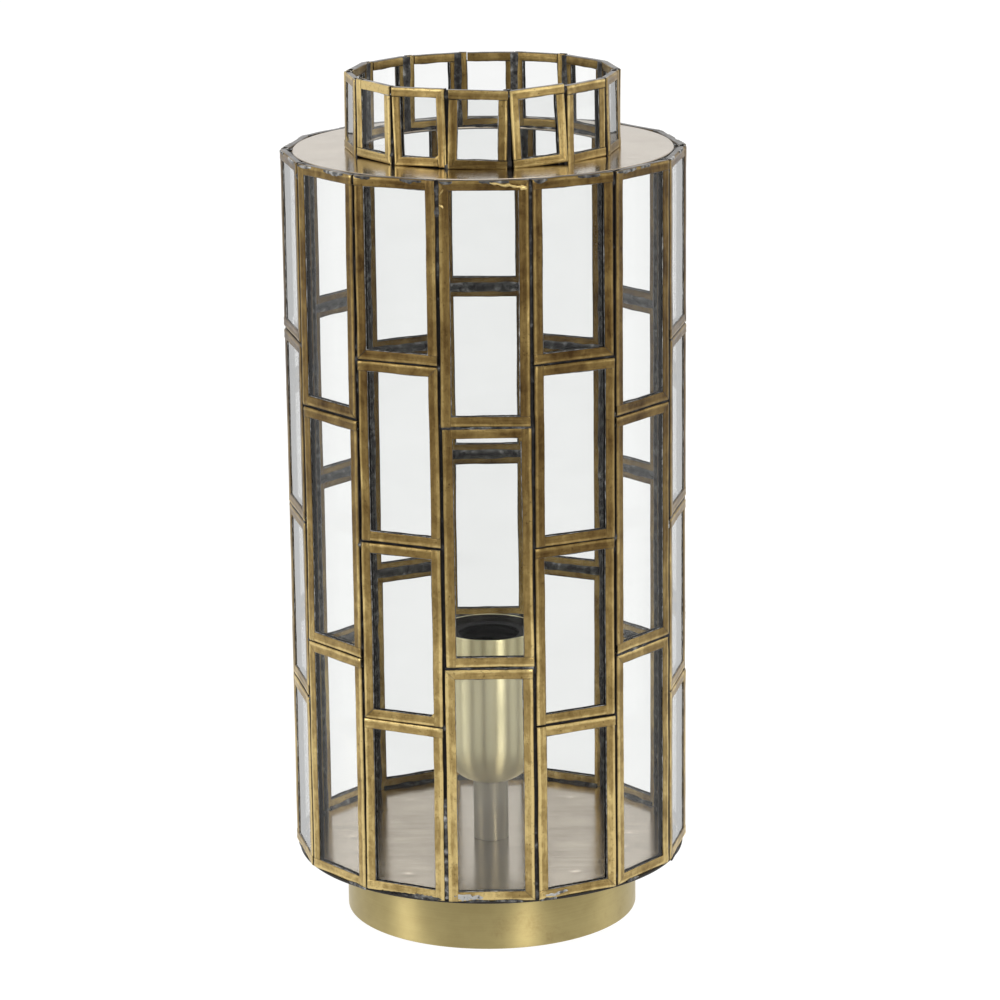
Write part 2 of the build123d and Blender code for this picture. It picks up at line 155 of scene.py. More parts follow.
def feed(tree, socket, value):
    """Joins a socket to value where that is a socket too, and otherwise sets it."""
    if isinstance(value, bpy.types.NodeSocket):
        tree.links.new(value, socket)
    else:
        socket.default_value = value


def feed_all(tree, made, **inputs):
    """Feeds a node's inputs by name. An underscore stands for a space in the name."""
    for name, value in inputs.items():
        feed(tree, made.inputs[name.replace("_", " ")], value)


def add_node(tree, kind, **inputs):
    """A shader node with these inputs."""
    made = tree.nodes.new("ShaderNode" + kind)
    feed_all(tree, made, **inputs)
    return made


def mix_shaders(tree, share, first, second):
    """first mixed with second by share, each a shader's node."""
    mixed = add_node(tree, "MixShader", Fac=share)
    tree.links.new(first.outputs[0], mixed.inputs[1])
    tree.links.new(second.outputs[0], mixed.inputs[2])
    return mixed


def make_world():
    """A white studio: pure white to the camera, and dimmer in reflections, most on the camera's side."""
    world = bpy.data.worlds.new("studio")
    world.use_nodes = True
    tree = world.node_tree
    tree.nodes.clear()
    path = add_node(tree, "LightPath")
    place = add_node(tree, "TexCoord")
    split = add_node(tree, "SeparateXYZ", Vector=place.outputs["Generated"])
    towards_camera = map_range(tree, split.outputs["Y"], -1.0, 0.6, 0.26, 0.95)
    upwards = map_range(tree, split.outputs["Z"], -0.2, 0.9, 0.85, 1.1)
    level = times(tree, towards_camera, upwards)
    shade = add_node(tree, "Background", Color=(1.0, 0.985, 0.965, 1), Strength=level)
    white = add_node(tree, "Background", Color=(1, 1, 1, 1), Strength=1.0)
    mixed = mix_shaders(tree, path.outputs["Is Camera Ray"], shade, white)
    output = tree.nodes.new("ShaderNodeOutputWorld")
    tree.links.new(mixed.outputs[0], output.inputs["Surface"])
    bpy.context.scene.world = world
    bpy.context.scene.view_settings.view_transform = "Standard"


def add_light(name, azimuth, elevation, distance, size, power, colour=(1, 1, 1)):
    """A soft box that faces the lamp. Azimuth 0 is at the camera's side and 90 at the lamp's right."""
    data = bpy.data.lights.new(name, "AREA")
    data.shape = "RECTANGLE"
    data.size, data.size_y = size
    data.energy = power
    data.color = colour
    light = bpy.data.objects.new(name, data)
    a, e = math.radians(azimuth), math.radians(elevation)
    away = Vector((math.sin(a) * math.cos(e), -math.cos(a) * math.cos(e), math.sin(e)))
    centre = Vector((0, 0, aim_height * MM))
    light.location = centre + away * distance
    light.rotation_euler = away.to_track_quat("Z", "Y").to_euler()
    bpy.context.collection.objects.link(light)


def make_floor():
    """A wide pale floor just under the felt."""
    half = 6.0  # metres
    gap = 0.0002
    mesh = bpy.data.meshes.new("floor")
    corners = [(-half, -half, 0), (half, -half, 0), (half, half, 0), (-half, half, 0)]
    mesh.from_pydata(corners, [], [(0, 1, 2, 3)])
    floor = bpy.data.objects.new("floor", mesh)
    floor.location.z = cad_low.z - gap
    material, tree, shader = new_material("floor_paper")
    grain = noise_field(tree, (40, 40, 40), 3)
    paper = ramp(tree, grain, [(0.3, (0.12, 0.12, 0.12)), (0.7, (0.14, 0.14, 0.14))])
    feed_all(tree, shader, Base_Color=paper, Roughness=0.9, Specular_IOR_Level=0.1)
    feed_all(tree, shader, Emission_Color=(1, 1, 1, 1), Emission_Strength=0.93)
    mesh.materials.append(material)
    bpy.context.collection.objects.link(floor)


# ---- Shader helpers ----
def new_material(name):
    """A material with its node tree and its Principled shader."""
    material = bpy.data.materials.new(name)
    material.use_nodes = True
    tree = material.node_tree
    return material, tree, tree.nodes["Principled BSDF"]


def math_node(tree, operation, first, second):
    """The result of an operation on sockets or numbers."""
    made = tree.nodes.new("ShaderNodeMath")
    made.operation = operation
    feed(tree, made.inputs[0], first)
    feed(tree, made.inputs[1], second)
    return made.outputs[0]


def plus(tree, first, second):
    """first and second added."""
    return math_node(tree, "ADD", first, second)


def times(tree, first, second):
    """first multiplied by second."""
    return math_node(tree, "MULTIPLY", first, second)


def map_range(tree, value, low, high, to_low, to_high):
    """value taken from low..high to to_low..to_high, and held inside them."""
    made = add_node(tree, "MapRange", Value=value, From_Min=low, From_Max=high, To_Min=to_low, To_Max=to_high)
    return made.outputs["Result"]


def noise_field(tree, scale, detail=2.0, rough=0.5, distortion=0.0):
    """Noise from 0 to 1 over the object's own space, with a scale per metre on each axis."""
    place = add_node(tree, "TexCoord")
    mapping = add_node(tree, "Mapping", Vector=place.outputs["Object"], Scale=scale)
    made = add_node(tree, "TexNoise", Vector=mapping.outputs[0], Scale=1.0, Detail=detail)
    feed_all(tree, made, Roughness=rough, Distortion=distortion)
    return made.outputs["Fac"]


def ramp(tree, value, stops):
    """A colour for value, from stops of a place and a colour."""
    made = add_node(tree, "ValToRGB", Fac=value)
    points = made.color_ramp.elements
    while len(points) < len(stops):
        points.new(0.5)
    for point, (place, colour) in zip(points, stops):
        point.position = place
        point.color = (*colour, 1)
    return made.outputs["Color"]


def blend_colours(tree, share, first, second):
    """first mixed with second by share. Each colour is a socket or three numbers."""
    made = tree.nodes.new("ShaderNodeMix")
    made.data_type = "RGBA"
    for place, value in ((0, share), (6, first), (7, second)):
        feed(tree, made.inputs[place], (*value, 1) if isinstance(value, tuple) else value)
    return made.outputs[2]


def mark(tree, name):
    """A number that the mesh carries at each point."""
    made = tree.nodes.new("ShaderNodeAttribute")
    made.attribute_name = name
    return made.outputs["Fac"]


def add_bump(tree, shader, height, distance, strength):
    """Bump of height times distance, in metres."""
    made = add_node(tree, "Bump", Height=height, Strength=strength, Distance=distance)
    tree.links.new(made.outputs[0], shader.inputs["Normal"])


def height_in(tree, low, high):
    """0 at height low and 1 at height high, in millimetres."""
    place = add_node(tree, "TexCoord")
    split = add_node(tree, "SeparateXYZ", Vector=place.outputs["Object"])
    return map_range(tree, split.outputs["Z"], low * MM, high * MM, 0.0, 1.0)


# ---- Materials ----
painted_light_heights = (245, 75)  # painted light: where the frames begin to be painted lighter towards the bottom, as the pale floor's reflection would make them, and where they are lightest


def came_brass_material():
    """Antique brass: brown in the middle of each bar, rubbed gold with a painted highlight at its edges,
    painted lighter towards the bottom, black patina in the seams and painted shade beside the glass.
    """
    material, tree, shader = new_material("came_brass")
    blotches = noise_field(tree, (75, 75, 45), 4, 0.6)
    upright_streaks = noise_field(tree, (1500, 1500, 90), 4, 0.65, 0.3)
    level_streaks = noise_field(tree, (90, 90, 1500), 4, 0.65, 0.3)
    streaks = blend_colours(tree, mark(tree, "upright"), level_streaks, upright_streaks)
    mottle = noise_field(tree, (260, 260, 200), 4, 0.65, 0.6)
    specks = noise_field(tree, (1000, 1000, 1000), 3, 0.6)
    # Painted light: lighter towards the bottom, standing in for the pale floor's reflection.
    lower = height_in(tree, *painted_light_heights)
    # The edge mark adds rubbed wear and a painted highlight line near each bar's outer edge.
    wear_and_painted_light = times(tree, mark(tree, "edge"), 0.8)
    wear_and_painted_light = plus(tree, wear_and_painted_light, map_range(tree, blotches, 0.3, 0.7, 0.1, 0.8))
    wear_and_painted_light = plus(tree, wear_and_painted_light, map_range(tree, streaks, 0.25, 0.75, 0.1, 0.5))
    wear_and_painted_light = plus(tree, wear_and_painted_light, map_range(tree, mottle, 0.3, 0.7, -0.1, 0.35))
    wear_and_painted_light = plus(tree, wear_and_painted_light, times(tree, lower, 0.95))
    wear_and_painted_light = plus(tree, wear_and_painted_light, times(tree, mark(tree, "tone"), 0.4))
    colour = ramp(
        tree,
        map_range(tree, wear_and_painted_light, 0.9, 2.7, 0.0, 1.0),
        [
            (0.0, (0.05, 0.028, 0.01)),
            (0.25, (0.12, 0.075, 0.026)),
            (0.5, (0.2, 0.135, 0.048)),
            (0.75, (0.33, 0.235, 0.09)),
            (1.0, (0.6, 0.46, 0.2)),
        ],
    )
    spots = map_range(tree, specks, 0.6, 0.72, 0.0, 0.65)
    colour = blend_colours(tree, spots, colour, (0.035, 0.02, 0.01))
    # Black patina in the seams, and painted shade along each bar's edge beside the glass.
    grime_and_painted_shade = times(tree, mark(tree, "grime_and_painted_shade"), map_range(tree, streaks, 0.25, 0.6, 0.75, 1.15))
    grime_and_painted_shade = map_range(tree, grime_and_painted_shade, 0.15, 0.85, 0.0, 1.0)
    colour = blend_colours(tree, grime_and_painted_shade, colour, (0.012, 0.009, 0.007))
    metallic = map_range(tree, grime_and_painted_shade, 0.0, 1.0, 1.0, 0.25)
    roughness = map_range(tree, streaks, 0.3, 0.75, 0.3, 0.52)
    feed_all(tree, shader, Base_Color=colour, Metallic=metallic, Roughness=roughness)
    relief = plus(tree, times(tree, streaks, 0.5), specks)
    add_bump(tree, shader, relief, 0.00015, 0.5)
    return material


def solder_material():
    """Soft solder: black patina in the grooves, grey where it is lumpy. The mark "edge" says how grey."""
    material, tree, shader = new_material("solder")
    lumps = noise_field(tree, (330, 330, 330), 4, 0.6)
    fine = noise_field(tree, (1100, 1100, 1100), 3, 0.6)
    share = plus(tree, mark(tree, "edge"), map_range(tree, lumps, 0.35, 0.75, -0.25, 0.35))
    colour = ramp(
        tree,
        share,
        [
            (0.0, (0.004, 0.003, 0.003)),
            (0.3, (0.02, 0.019, 0.02)),
            (0.6, (0.09, 0.09, 0.088)),
            (1.0, (0.42, 0.42, 0.41)),
        ],
    )
    spots = map_range(tree, fine, 0.58, 0.7, 0.0, 0.85)
    colour = blend_colours(tree, spots, colour, (0.012, 0.011, 0.012))
    metallic = map_range(tree, share, 0.1, 0.8, 0.0, 0.9)
    roughness = map_range(tree, fine, 0.3, 0.7, 0.42, 0.7)
    feed_all(tree, shader, Base_Color=colour, Metallic=metallic, Roughness=roughness, Specular_IOR_Level=0.2)
    relief = plus(tree, lumps, times(tree, fine, 0.4))
    add_bump(tree, shader, relief, 0.0004, 0.7)
    return material


def glass_material():
    """Clear float glass, a little grey and mirror-like at a slant. The mark "tone" is its film of dust."""
    material, tree, shader = new_material("clear_glass")
    tree.nodes.remove(shader)
    ripple = noise_field(tree, (14, 14, 14), 2, 0.4)
    smears = noise_field(tree, (30, 30, 55), 4, 0.6)
    bump = add_node(tree, "Bump", Height=ripple, Strength=0.25, Distance=0.0006)
    tint = ramp(tree, smears, [(0.3, (0.92, 0.924, 0.922)), (0.7, (0.93, 0.934, 0.932))])
    slant = add_node(tree, "LayerWeight", Normal=bump.outputs[0], Blend=0.5)
    # Painted light: a pane seen at a slant lets more through, so it looks brighter.
    aslant = map_range(tree, slant.outputs["Facing"], 0.05, 0.6, 0.0, 1.0)
    tint = blend_colours(tree, aslant, tint, (0.965, 0.968, 0.966))
    clear = add_node(tree, "BsdfTransparent", Color=tint)
    mirror = add_node(tree, "BsdfAnisotropic", Color=(0.97, 0.98, 0.98, 1), Roughness=0.03)
    feed_all(tree, mirror, Normal=bump.outputs[0])
    share = math_node(tree, "POWER", slant.outputs["Facing"], 4.0)
    share = map_range(tree, share, 0.0, 1.0, 0.005, 0.95)
    dust = add_node(tree, "BsdfDiffuse", Color=(0.8, 0.79, 0.76, 1))
    film = times(tree, mark(tree, "tone"), map_range(tree, smears, 0.3, 0.7, 0.7, 1.3))
    veiled = mix_shaders(tree, film, clear, dust)
    mixed = mix_shaders(tree, share, veiled, mirror)
    tree.links.new(mixed.outputs[0], tree.nodes["Material Output"].inputs["Surface"])
    return material


def brushed_metal(name, dark, pale, brush, roughness, anisotropy, stain, stain_share):
    """Brushed metal, blackened where its grime mark is 1 and darkened where it is less, which is painted
    shade inside the cup, under the top plate and on the plates' rims. brush is its grain's scale per metre.
    """
    material, tree, shader = new_material(name)
    lines = noise_field(tree, brush, 3, 0.6)
    cloud = noise_field(tree, (45, 45, 60), 4, 0.6)
    fine = noise_field(tree, (700, 700, 700), 3, 0.6)
    share = plus(tree, times(tree, lines, 0.35), times(tree, cloud, 0.65))
    colour = ramp(tree, share, [(0.3, dark), (0.7, pale)])
    stains = times(tree, map_range(tree, cloud, 0.55, 0.75, 0.0, 1.0), stain_share)
    stains = times(tree, stains, map_range(tree, fine, 0.35, 0.65, 0.4, 1.0))
    colour = blend_colours(tree, stains, colour, stain)
    # Painted shade: the grime mark blackens the inside of the cup, the underside of the top plate and the
    # plates' rims.
    grime_and_painted_shade = mark(tree, "grime_and_painted_shade")
    colour = blend_colours(tree, grime_and_painted_shade, colour, (0.008, 0.006, 0.004))
    metallic = map_range(tree, grime_and_painted_shade, 0.0, 1.0, 1.0, 0.2)
    low, high = roughness
    rough = map_range(tree, plus(tree, lines, stains), 0.3, 0.8, low, high)
    rough = math_node(tree, "MAXIMUM", rough, times(tree, grime_and_painted_shade, 0.6))
    feed_all(tree, shader, Base_Color=colour, Metallic=metallic, Roughness=rough)
    if anisotropy:
        add_bump(tree, shader, lines, 0.00001, 0.15)
        feed_all(tree, shader, Anisotropic=anisotropy, Anisotropic_Rotation=0.25)
        tangent = tree.nodes.new("ShaderNodeTangent")
        tangent.direction_type = "RADIAL"
        tangent.axis = "Z"
        tree.links.new(tangent.outputs[0], shader.inputs["Tangent"])
    return material


def plastic_material():
    """Black moulded thermoplastic with a fine sparked surface and a little dust."""
    material, tree, shader = new_material("holder_plastic")
    grain = noise_field(tree, (2600, 2600, 2600), 2)
    dust = noise_field(tree, (700, 700, 700), 3, 0.7)
    specks = map_range(tree, dust, 0.67, 0.75, 0.0, 0.35)
    colour = blend_colours(tree, specks, (0.0015, 0.0015, 0.0018), (0.07, 0.07, 0.07))
    roughness = map_range(tree, dust, 0.3, 0.7, 0.42, 0.6)
    feed_all(tree, shader, Base_Color=colour, Roughness=roughness, Specular_IOR_Level=0.06)
    add_bump(tree, shader, grain, 0.00004, 0.5)
    return material


def rough_material(name, dark, pale, scale, roughness, relief):
    """A dull material, such as board, felt or rubber."""
    material, tree, shader = new_material(name)
    coarse = noise_field(tree, (scale * 0.12,) * 3, 3, 0.6)
    fibres = noise_field(tree, (scale,) * 3, 4, 0.7, 1.0)
    share = plus(tree, times(tree, fibres, 0.65), times(tree, coarse, 0.35))
    colour = ramp(tree, share, [(0.35, dark), (0.65, pale)])
    rough = map_range(tree, fibres, 0.3, 0.7, roughness - 0.08, roughness + 0.08)
    feed_all(tree, shader, Base_Color=colour, Roughness=rough)
    add_bump(tree, shader, fibres, relief, 0.8)
    return material


make_camera()
make_world()
make_floor()
add_light("key_box", 26, 24, 2.2, (0.4, 1.5), 24, (1.0, 0.97, 0.9))
add_light("left_box", -70, 22, 2.2, (0.6, 1.6), 24, (1.0, 0.99, 0.97))
add_light("right_box", 100, 20, 2.4, (0.8, 1.6), 8)
add_light("top_box", 10, 78, 2.4, (1.8, 1.4), 8)
add_light("back_box", 180, 35, 2.6, (2.2, 1.4), 16)

# Each metal: its dark and pale colours, its grain's scale, its least and most roughness, its anisotropy,
# its stains' colour and how much of them shows.
umber, rust, tan = (0.1, 0.07, 0.04), (0.2, 0.12, 0.04), (0.3, 0.2, 0.1)
metals = {
    "plate_brass": ((0.4, 0.345, 0.275), (0.53, 0.47, 0.39), (25, 900, 900), (0.12, 0.22), 0, umber, 0.2),
    "foot_brass": ((0.375, 0.3, 0.13), (0.51, 0.425, 0.2), (14, 14, 2600), (0.42, 0.5), 0.9, rust, 0.45),
    "stem_brass": ((0.27, 0.245, 0.18), (0.35, 0.32, 0.24), (20, 20, 2400), (0.45, 0.55), 0.3, umber, 0.35),
    "cup_brass": ((0.68, 0.62, 0.37), (0.8, 0.74, 0.48), (16, 16, 2600), (0.36, 0.42), 0.88, tan, 0.2),
    "zinc_steel": ((0.42, 0.42, 0.4), (0.62, 0.61, 0.56), (300, 300, 900), (0.3, 0.45), 0, umber, 0.35),
    "contact_metal": ((0.5, 0.36, 0.16), (0.7, 0.54, 0.28), (900, 60, 60), (0.22, 0.36), 0, umber, 0.35),
}
# Each dull material: its dark and pale colours, its grain's scale, its roughness and its relief in metres.
dull_materials = {
    "fibreboard": ((0.12, 0.07, 0.035), (0.24, 0.15, 0.08), 900, 0.75, 0.0001),
    "felt": ((0.008, 0.008, 0.009), (0.035, 0.035, 0.038), 1800, 0.95, 0.0003),
    "grommet_rubber": ((0.01, 0.01, 0.01), (0.028, 0.028, 0.03), 1500, 0.6, 0.00004),
}
finishes = {name: brushed_metal(name, *values) for name, values in metals.items()}
finishes["came_brass"] = came_brass_material()
finishes["solder"] = solder_material()
finishes["clear_glass"] = glass_material()
finishes["holder_plastic"] = plastic_material()
finishes.update({name: rough_material(name, *values) for name, values in dull_materials.items()})


# ---- Mesh helpers ----
class Draft:
    """Points and faces of one piece while it is put together, in millimetres."""

    def __init__(self):
        self.points = []
        self.faces = []
        self.slots = []
        self.marks = {"tone": [], "edge": [], "grime_and_painted_shade": [], "upright": []}

    def add_rings(self, rings, place=None, slot=0, tone=0.5, joined=False, upright=0.0):
        """Skins rings of (point, edge, grime). Open runs get flat ends, and joined ones close."""
        first = len(self.points)
        count = len(rings[0])
        for ring in rings:
            for point, edge, grime_and_painted_shade in ring:
                self.points.append(place @ point if place else point)
                for name, value in zip(self.marks, (tone, edge, grime_and_painted_shade, upright)):
                    self.marks[name].append(value)
        turns = len(rings) if joined else len(rings) - 1
        for turn in range(turns):
            here = first + turn * count
            there = first + (turn + 1) % len(rings) * count
            for k in range(count):
                following = (k + 1) % count
                self.faces.append((here + k, here + following, there + following, there + k))
                self.slots.append(slot)
        if not joined:
            self.faces.append(tuple(first + k for k in reversed(range(count))))
            self.faces.append(tuple(first + (len(rings) - 1) * count + k for k in range(count)))
            self.slots += [slot, slot]


def make_piece(draft, name, slot, node, second=None, sharp_angle=38.0):
    """The draft as an object that rides on the lamp and stands for a CAD node.

    slot names its material, and second the material of its faces in slot 1.
    """
    mesh = bpy.data.meshes.new(name)
    mesh.from_pydata([point * MM for point in draft.points], [], draft.faces)
    mesh.polygons.foreach_set("material_index", draft.slots)
    mesh.materials.append(finishes[slot])
    if second:
        mesh.materials.append(finishes[second])
    for mark_name, values in draft.marks.items():
        layer = mesh.attributes.new(mark_name, "FLOAT", "POINT")
        layer.data.foreach_set("value", values)
    shell = bmesh.new()
    shell.from_mesh(mesh)
    bmesh.ops.recalc_face_normals(shell, faces=shell.faces)
    shell.to_mesh(mesh)
    shell.free()
    mesh.polygons.foreach_set("use_smooth", [True] * len(mesh.polygons))
    mesh.set_sharp_from_angle(angle=math.radians(sharp_angle))
    piece = bpy.data.objects.new(name, mesh)
    bpy.context.collection.objects.link(piece)
    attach(piece, "lamp")
    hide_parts(node)
    return piece


def wobble(x, seed, size=1.0):
    """A smooth random number from about -1 to 1 along x."""
    return 1.6 * noise.noise(Vector((x * size, seed * 7.31 + 0.5, seed * 1.7 + 0.3)))


def polar(radius, angle, height=0):
    """The point at this radius, angle and height."""
    return Vector((radius * math.cos(angle), radius * math.sin(angle), height))


def facet_place(apothem, angle, height):
    """A wall's place: x runs along it, y up it and z out of it, from the middle of its outer face."""
    outward = polar(1, angle)
    along = Vector((-math.sin(angle), math.cos(angle), 0))
    place = Matrix((along, Vector((0, 0, 1)), outward)).transposed().to_4x4()
    place.translation = outward * apothem + Vector((0, 0, height))
    return place


def rounded_outline(corners, steps):
    """A closed outline with round corners, from (x, y, radius) of each corner."""
    outline = []
    for index, (x, y, radius) in enumerate(corners):
        here = Vector((x, y))
        if radius == 0:
            outline.append(here)
            continue
        before = Vector(corners[index - 1][:2]) - here
        after = Vector(corners[(index + 1) % len(corners)][:2]) - here
        half_turn = before.angle(after) / 2
        reach = radius / math.tan(half_turn)
        start = here + before.normalized() * reach
        end = here + after.normalized() * reach
        centre = here + (before.normalized() + after.normalized()).normalized() * radius / math.sin(half_turn)
        for step in range(steps + 1):
            share = step / steps
            chord = start.lerp(end, share) - centre
            outline.append(centre + chord.normalized() * radius)
    return outline


def add_lathe(draft, outline, turns, shape=None, grime_and_painted_shade=None):
    """Turns a closed outline of (radius, height) about the Z axis.

    shape(radius, height, angle) may move a point, and grime(radius, height) says how dark it is.
    """
    rings = []
    for turn in range(turns):
        angle = math.tau * turn / turns
        ring = []
        for radius, height in outline:
            dirt = grime_and_painted_shade(radius, height) if grime_and_painted_shade else 0.0
            if shape:
                radius, height = shape(radius, height, angle)
            ring.append((polar(radius, angle, height), 0.5, dirt))
        rings.append(ring)
    draft.add_rings(rings, joined=True)


def add_blob(draft, centre, size, seed):
    """A small lump of solder with an uneven surface."""
    rings = []
    rows, sides = 7, 12
    for row in range(rows + 1):
        lean = math.pi * (0.04 + 0.92 * row / rows)
        ring = []
        for side in range(sides):
            turn = math.tau * side / sides
            way = Vector((math.sin(lean) * math.cos(turn), math.sin(lean) * math.sin(turn), math.cos(lean)))
            swell = 1 + 0.28 * noise.noise(way * 1.3 + Vector((seed, seed * 0.37, 2.0)))
            point = Vector((way.x * size[0], way.y * size[1], way.z * size[2])) * swell
            # Painted light: each drop is greyer on top and darker underneath.
            ring.append((centre + point, 0.4 + 0.25 * way.z, 0.0))
        rings.append(ring)
    draft.add_rings(rings)


# ---- Frames of folded brass ----
# Each outline point: in from the bar's outer edge, depth under the face, rubbed wear with a painted highlight
# (most near the outer edge), and grime: black patina in the seam and painted shade beside the glass.
came_outline = [
    (4.4, 0.58, 0.0, 0.8),
    (4.42, 0.3, 0.1, 0.45),
    (4.3, 0.12, 0.2, 0.2),
    (4.0, 0.02, 0.3, 0.05),
    (3.3, 0.05, 0.28, 0.0),
    (2.6, 0.1, 0.22, 0.0),
    (2.0, 0.08, 0.25, 0.0),
    (1.55, 0.02, 0.35, 0.0),
    (1.25, 0.0, 0.75, 0.0),
    (0.8, 0.04, 0.95, 0.0),
    (0.4, 0.17, 0.8, 0.02),
    (0.14, 0.42, 0.6, 0.35),
    (0.0, 0.85, 0.4, 0.9),
    (0.0, 1.6, 0.3, 1.0),
    (0.0, 2.4, 0.3, 1.0),
    (0.13, 2.85, 0.4, 0.8),
    (0.4, 3.1, 0.5, 0.4),
    (0.8, 3.2, 0.5, 0.2),
    (2.6, 3.17, 0.45, 0.05),
    (4.1, 3.17, 0.3, 0.2),
    (4.4, 2.98, 0.0, 0.7),
    (4.4, 2.62, 0.0, 1.0),
    (0.55, 2.62, 0.0, 1.0),
    (0.55, 0.58, 0.0, 1.0),
]
corner_lift = 0.14  # of a bar's end that lies on top of another
lift_length = came_face * 1.3
corner_drop = 0.3  # of that end's last edge, as if folded over
corner_styles = ("level_over", "level_over", "upright_over", "upright_over", "mitre")
corner_signs = ((-1, -1), (1, -1), (1, 1), (-1, 1))  # anticlockwise from the bottom left
gusset_share = 0.05  # of corners that have a folded flap


def bar_end(style, level, half_length, inward):
    """Where a point this far in from a bar's outer edge ends, and whether the bar lies on top there."""
    on_top = style == ("level_over" if level else "upright_over")
    if style == "mitre":
        return half_length - inward, False
    if on_top:
        return half_length, True
    return half_length - came_face + 0.25, False


def add_bar(draft, place, size, side, styles, tone, seed, face):
    """One bar of a frame: side 0 is the bottom one, then anticlockwise. styles are its two corners'."""
    width, height = size
    level = side % 2 == 0
    half_length = (width if level else height) / 2
    half_across = (height if level else width) / 2
    turn = side * math.pi / 2
    along = Vector((math.cos(turn), math.sin(turn), 0))
    inward = Vector((-math.sin(turn), math.cos(turn), 0))
    stretch = face / came_face
    stations = [0.0, 0.012, 0.06, 0.13]
    middle = max(4, int(half_length / 5))
    stations += [0.13 + 0.74 * (k + 1) / middle for k in range(middle - 1)]
    stations += [0.87, 0.94, 0.988, 1.0]
    lean = 0.5 * wobble(seed, 3.3)
    rings = []
    for share in stations:
        ring = []
        for inset, depth, edge, grime_and_painted_shade in came_outline:
            inset *= stretch
            start, start_top = bar_end(styles[0], level, half_length, inset)
            end, end_top = bar_end(styles[1], level, half_length, inset)
            run = -start + (start + end) * share
            outer = depth < 1.0
            sway = 0.16 * wobble(run, seed, 0.045) + 0.05 * wobble(run, seed + 3, 0.25)
            rise = 0.09 * wobble(run, seed + 5, 0.09) + 0.05 * lean * (inset - face / 2) / face
            near_start = max(0.0, 1 - (run + half_length) / lift_length) if start_top else 0.0
            near_end = max(0.0, 1 - (half_length - run) / lift_length) if end_top else 0.0
            lift = corner_lift * min(1.0, 2.5 * max(near_start, near_end))
            at_end = share in (0.0, 1.0)
            drop = corner_drop if at_end and (start_top if share == 0.0 else end_top) and outer else 0.0
            deep = depth + (drop - lift - rise if outer else 0.0)
            rub = 0.25 * max(near_start, near_end)
            tip = 0.5 * at_end
            point = along * run + inward * (inset + sway - half_across) - Vector((0, 0, max(deep, -0.2)))
            ring.append((point, edge + rub, max(grime_and_painted_shade, tip if outer else grime_and_painted_shade)))
        rings.append(ring)
    draft.add_rings(rings, place, 0, tone, upright=0.0 if level else 1.0)


def add_gusset(draft, place, size, corner, legs, face, tone):
    """A small folded flap over a frame's inner corner."""
    width, height = size
    sign_x, sign_y = corner
    inner = Vector((sign_x * (width / 2 - face), sign_y * (height / 2 - face), 0))
    reach_x = Vector((-sign_x * legs[0], 0, 0))
    reach_y = Vector((0, -sign_y * legs[1], 0))
    outside = Vector((sign_x * 0.8, sign_y * 0.8, 0))
    rings = []
    for depth, shrink in ((0.5, 1.0), (0.18, 1.0), (0.05, 0.8)):
        low = Vector((0, 0, -depth))
        corners = (outside, reach_x * shrink, reach_y * shrink)
        rings.append([(inner + point + low, 0.55, 0.25) for point in corners])
    draft.add_rings(rings, place, 0, tone)


def add_putty(draft, place, size, face, seed):
    """A thin uneven line of grey cement between a frame and the outside and inside of its glass."""
    width, height = size
    half = (width / 2 - face + 0.15, height / 2 - face + 0.15)
    for depth, lip in ((pane_inset, -0.28), (pane_inset + glass_thickness, 0.3)):
        rings = []
        for index in range(4):
            start, end = corner_signs[index], corner_signs[(index + 1) % 4]
            for step in range(9):
                share = step / 9
                way_x = start[0] + (end[0] - start[0]) * share
                way_y = start[1] + (end[1] - start[1]) * share
                way = Vector((way_x, way_y, 0))
                line = Vector((way.x * half[0], way.y * half[1], 0))
                spread = max(0.12, 0.36 + 0.22 * wobble(index * 9 + step, seed, 0.31))
                inner = Vector((way.x * (half[0] - spread), way.y * (half[1] - spread), 0))
                ring = [
                    (line + Vector((0, 0, -depth)), 0.5, 0.0),
                    (line + Vector((0, 0, -depth - lip)), 0.6, 0.0),
                    (inner + Vector((0, 0, -depth - lip * 0.12)), 0.75, 0.0),
                    (inner + Vector((0, 0, -depth + lip * 0.1)), 0.75, 0.0),
                ]
                rings.append(ring)
        draft.add_rings(rings, place, 1, 0.5, joined=True)


def add_frame(draft, place, size, face, tone, seed, dice):
    """A frame of four bars round a pane, with its corner folds and its line of cement."""
    styles = [dice.choice(corner_styles) for _ in range(4)]
    for side in range(4):
        bar_tone = tone + dice.uniform(-0.16, 0.16)
        ends = (styles[side], styles[(side + 1) % 4])
        add_bar(draft, place, size, side, ends, bar_tone, seed + side * 11.7, face)
    for corner in corner_signs:
        if dice.random() < gusset_share:
            legs = (dice.uniform(1.2, 2.0), dice.uniform(1.2, 2.0))
            add_gusset(draft, place, size, corner, legs, face, tone + 0.2)
    add_putty(draft, place, size, face, seed)


def add_pane(draft, place, size, film):
    """One pane of glass with ground edges, in the frame that has this size, under a film of dust."""
    half_x = size[0] / 2 - pane_inset
    half_y = size[1] / 2 - pane_inset
    ground = 0.25
    rings = []
    for depth, back in ((0, ground), (ground, 0), (glass_thickness - ground, 0), (glass_thickness, ground)):
        low = Vector((0, 0, -pane_inset - depth))
        corners = [Vector((x * (half_x - back), y * (half_y - back), 0)) for x, y in corner_signs]
        rings.append([(corner + low, 0.5, 0.0) for corner in corners])
    draft.add_rings(rings, place, tone=film)


def pane_rows(count):
    """Height of each frame in a column of this many, and the heights of their middles."""
    height = (body_top - body_bottom - (count - 1) * joint_gap) / count
    return height, [body_bottom + height / 2 + row * (height + joint_gap) for row in range(count)]


